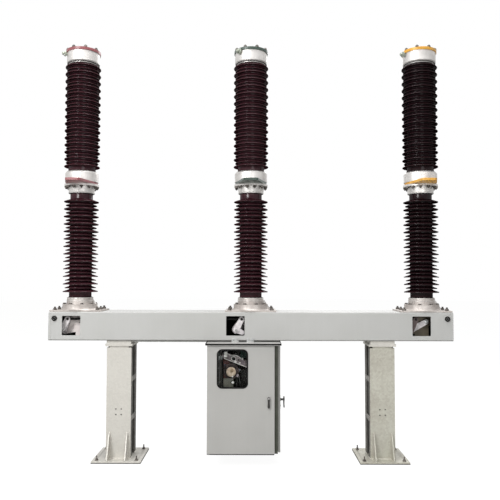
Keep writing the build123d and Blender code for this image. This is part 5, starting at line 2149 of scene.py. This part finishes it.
# ---- Studio --------------------------------------------------------------
@dataclass(frozen=True)
class Lamp:
    """A soft area lamp that looks at a point."""

    name: str
    place: Point3
    target: Point3
    size: float
    power: float

    def build(self) -> Item:
        """Makes the lamp.

        Returns:
            The lamp's object.
        """
        data = bpy.data.lights.new(self.name, "AREA")
        data.shape = "DISK"
        data.size = self.size
        data.energy = self.power
        made = show(self.name, data)
        made.location = self.place
        aim = Vector(self.target) - Vector(self.place)
        made.rotation_euler = aim.to_track_quat("-Z", "Y").to_euler()
        return made


@dataclass
class Studio:
    """The camera, the pale floor, the soft lamps and the even surroundings."""

    eye: Point3 = (0.0163, -5.8947, 1.7789)
    yaw: float = -0.0041
    pitch: float = 0.0438
    roll: float = 0.0019
    lens: float = 42.49
    floor_r: float = 40.0
    ambient: float = 0.38
    floor_share: float = 0.75
    floor_glow: float = 1.25
    lamps: tuple[Lamp, ...] = (
        Lamp("key", (-4.6, -6.4, 5.6), (0.0, 0.0, 1.8), 2.8, 520.0),
        Lamp("fill", (2.2, -8.5, 3.0), (0.0, 0.0, 1.6), 4.0, 130.0),
        Lamp("top", (0.3, -0.8, 8.5), (0.0, -0.2, 1.5), 4.0, 420.0),
        Lamp("rear", (2.0, 6.0, 6.0), (0.0, 0.0, 2.5), 4.0, 130.0),
    )

    def build(self) -> None:
        """Sets up the scene around the breaker."""
        made = [lamp.build() for lamp in self.lamps]
        self.build_camera()
        self.build_floor()
        self.build_world()
        bpy.context.scene.view_settings.view_transform = "Standard"

    def build_camera(self) -> Item:
        """Makes the camera at a standing eye in front of the breaker.

        Returns:
            The camera.
        """
        data = bpy.data.cameras.new("camera")
        data.sensor_width = 36.0
        data.lens = self.lens
        data.clip_end = 200.0
        made = show("camera", data)
        flat = cos(self.pitch)
        ahead = Vector((sin(self.yaw) * flat, cos(self.yaw) * flat, sin(self.pitch)))
        right = Vector((cos(self.yaw), -sin(self.yaw), 0))
        up = right.cross(ahead)
        across = right * cos(self.roll) + up * sin(self.roll)
        over = up * cos(self.roll) - right * sin(self.roll)
        turn = Matrix((across, over, -ahead)).transposed().to_4x4()
        made.matrix_world = Matrix.Translation(self.eye) @ turn
        bpy.context.scene.camera = made
        return made

    def build_floor(self) -> Item:
        """Makes the floor: white to the camera, but it keeps the breaker's shadow.

        Returns:
            The floor.
        """
        mesh = bmesh.new()
        bmesh.ops.create_circle(mesh, cap_ends=True, segments=96, radius=self.floor_r)
        data = bpy.data.meshes.new("floor")
        mesh.to_mesh(data)
        mesh.free()
        made = show("floor", data)
        made.location.z = -0.0005
        finish = bpy.data.materials.new("floor_pale")
        finish.use_nodes = True
        tree = finish.node_tree
        tree.nodes.clear()
        matt = add(tree, "BsdfDiffuse", Color=linear("#c4c4c2"))
        white = add(tree, "Emission", Strength=self.floor_glow)
        seen = add(tree, "LightPath").outputs["Is Camera Ray"]
        share = add(
            tree, "Math", operation="MULTIPLY", Value=seen, Value_001=self.floor_share
        )
        mix = add(tree, "MixShader", Fac=share, Shader=matt, Shader_001=white)
        add(tree, "OutputMaterial", Surface=mix)
        data.materials.append(finish)
        return made

    def build_world(self) -> None:
        """Makes the surroundings: white where they are seen or mirrored, softer as light."""
        world = bpy.data.worlds.new("surroundings")
        bpy.context.scene.world = world
        world.use_nodes = True
        tree = world.node_tree
        tree.nodes.clear()
        rays = add(tree, "LightPath").outputs
        seen = add(
            tree, "Math", operation="ADD", Value=rays["Is Camera Ray"],
            Value_001=rays["Is Glossy Ray"],
        )
        through = add(
            tree, "Math", operation="ADD", use_clamp=True, Value=seen,
            Value_001=rays["Is Transmission Ray"],
        )
        soft = add(tree, "Background", Strength=self.ambient)
        white = add(tree, "Background", Strength=1.0)
        for node in (soft, white):
            node.inputs["Color"].default_value = (1.0, 1.0, 1.0, 1.0)
        mix = add(tree, "MixShader", Fac=through, Shader=soft, Shader_001=white)
        add(tree, "OutputWorld", Surface=mix)


def write_sizes() -> None:
    """Updates the view layer, so that every piece stands in its place."""
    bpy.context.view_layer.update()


def main() -> None:
    """Builds the breaker piece by piece, then its surroundings."""
    logging.basicConfig(level=logging.INFO, format="%(message)s")
    for phase in PHASES:
        Pole(phase).build()
    # The right leg's darker zinc is partly painted shade.
    for side, coat in (("left", ZINC_BATH), ("right", ZINC_GREEN_SHADED)):
        Leg(side, coat).build()
    Beam().build()
    Linkage().build()
    Cabinet().build()
    Mechanism().build()
    Studio().build()
    write_sizes()


if __name__ == "__main__":
    main()
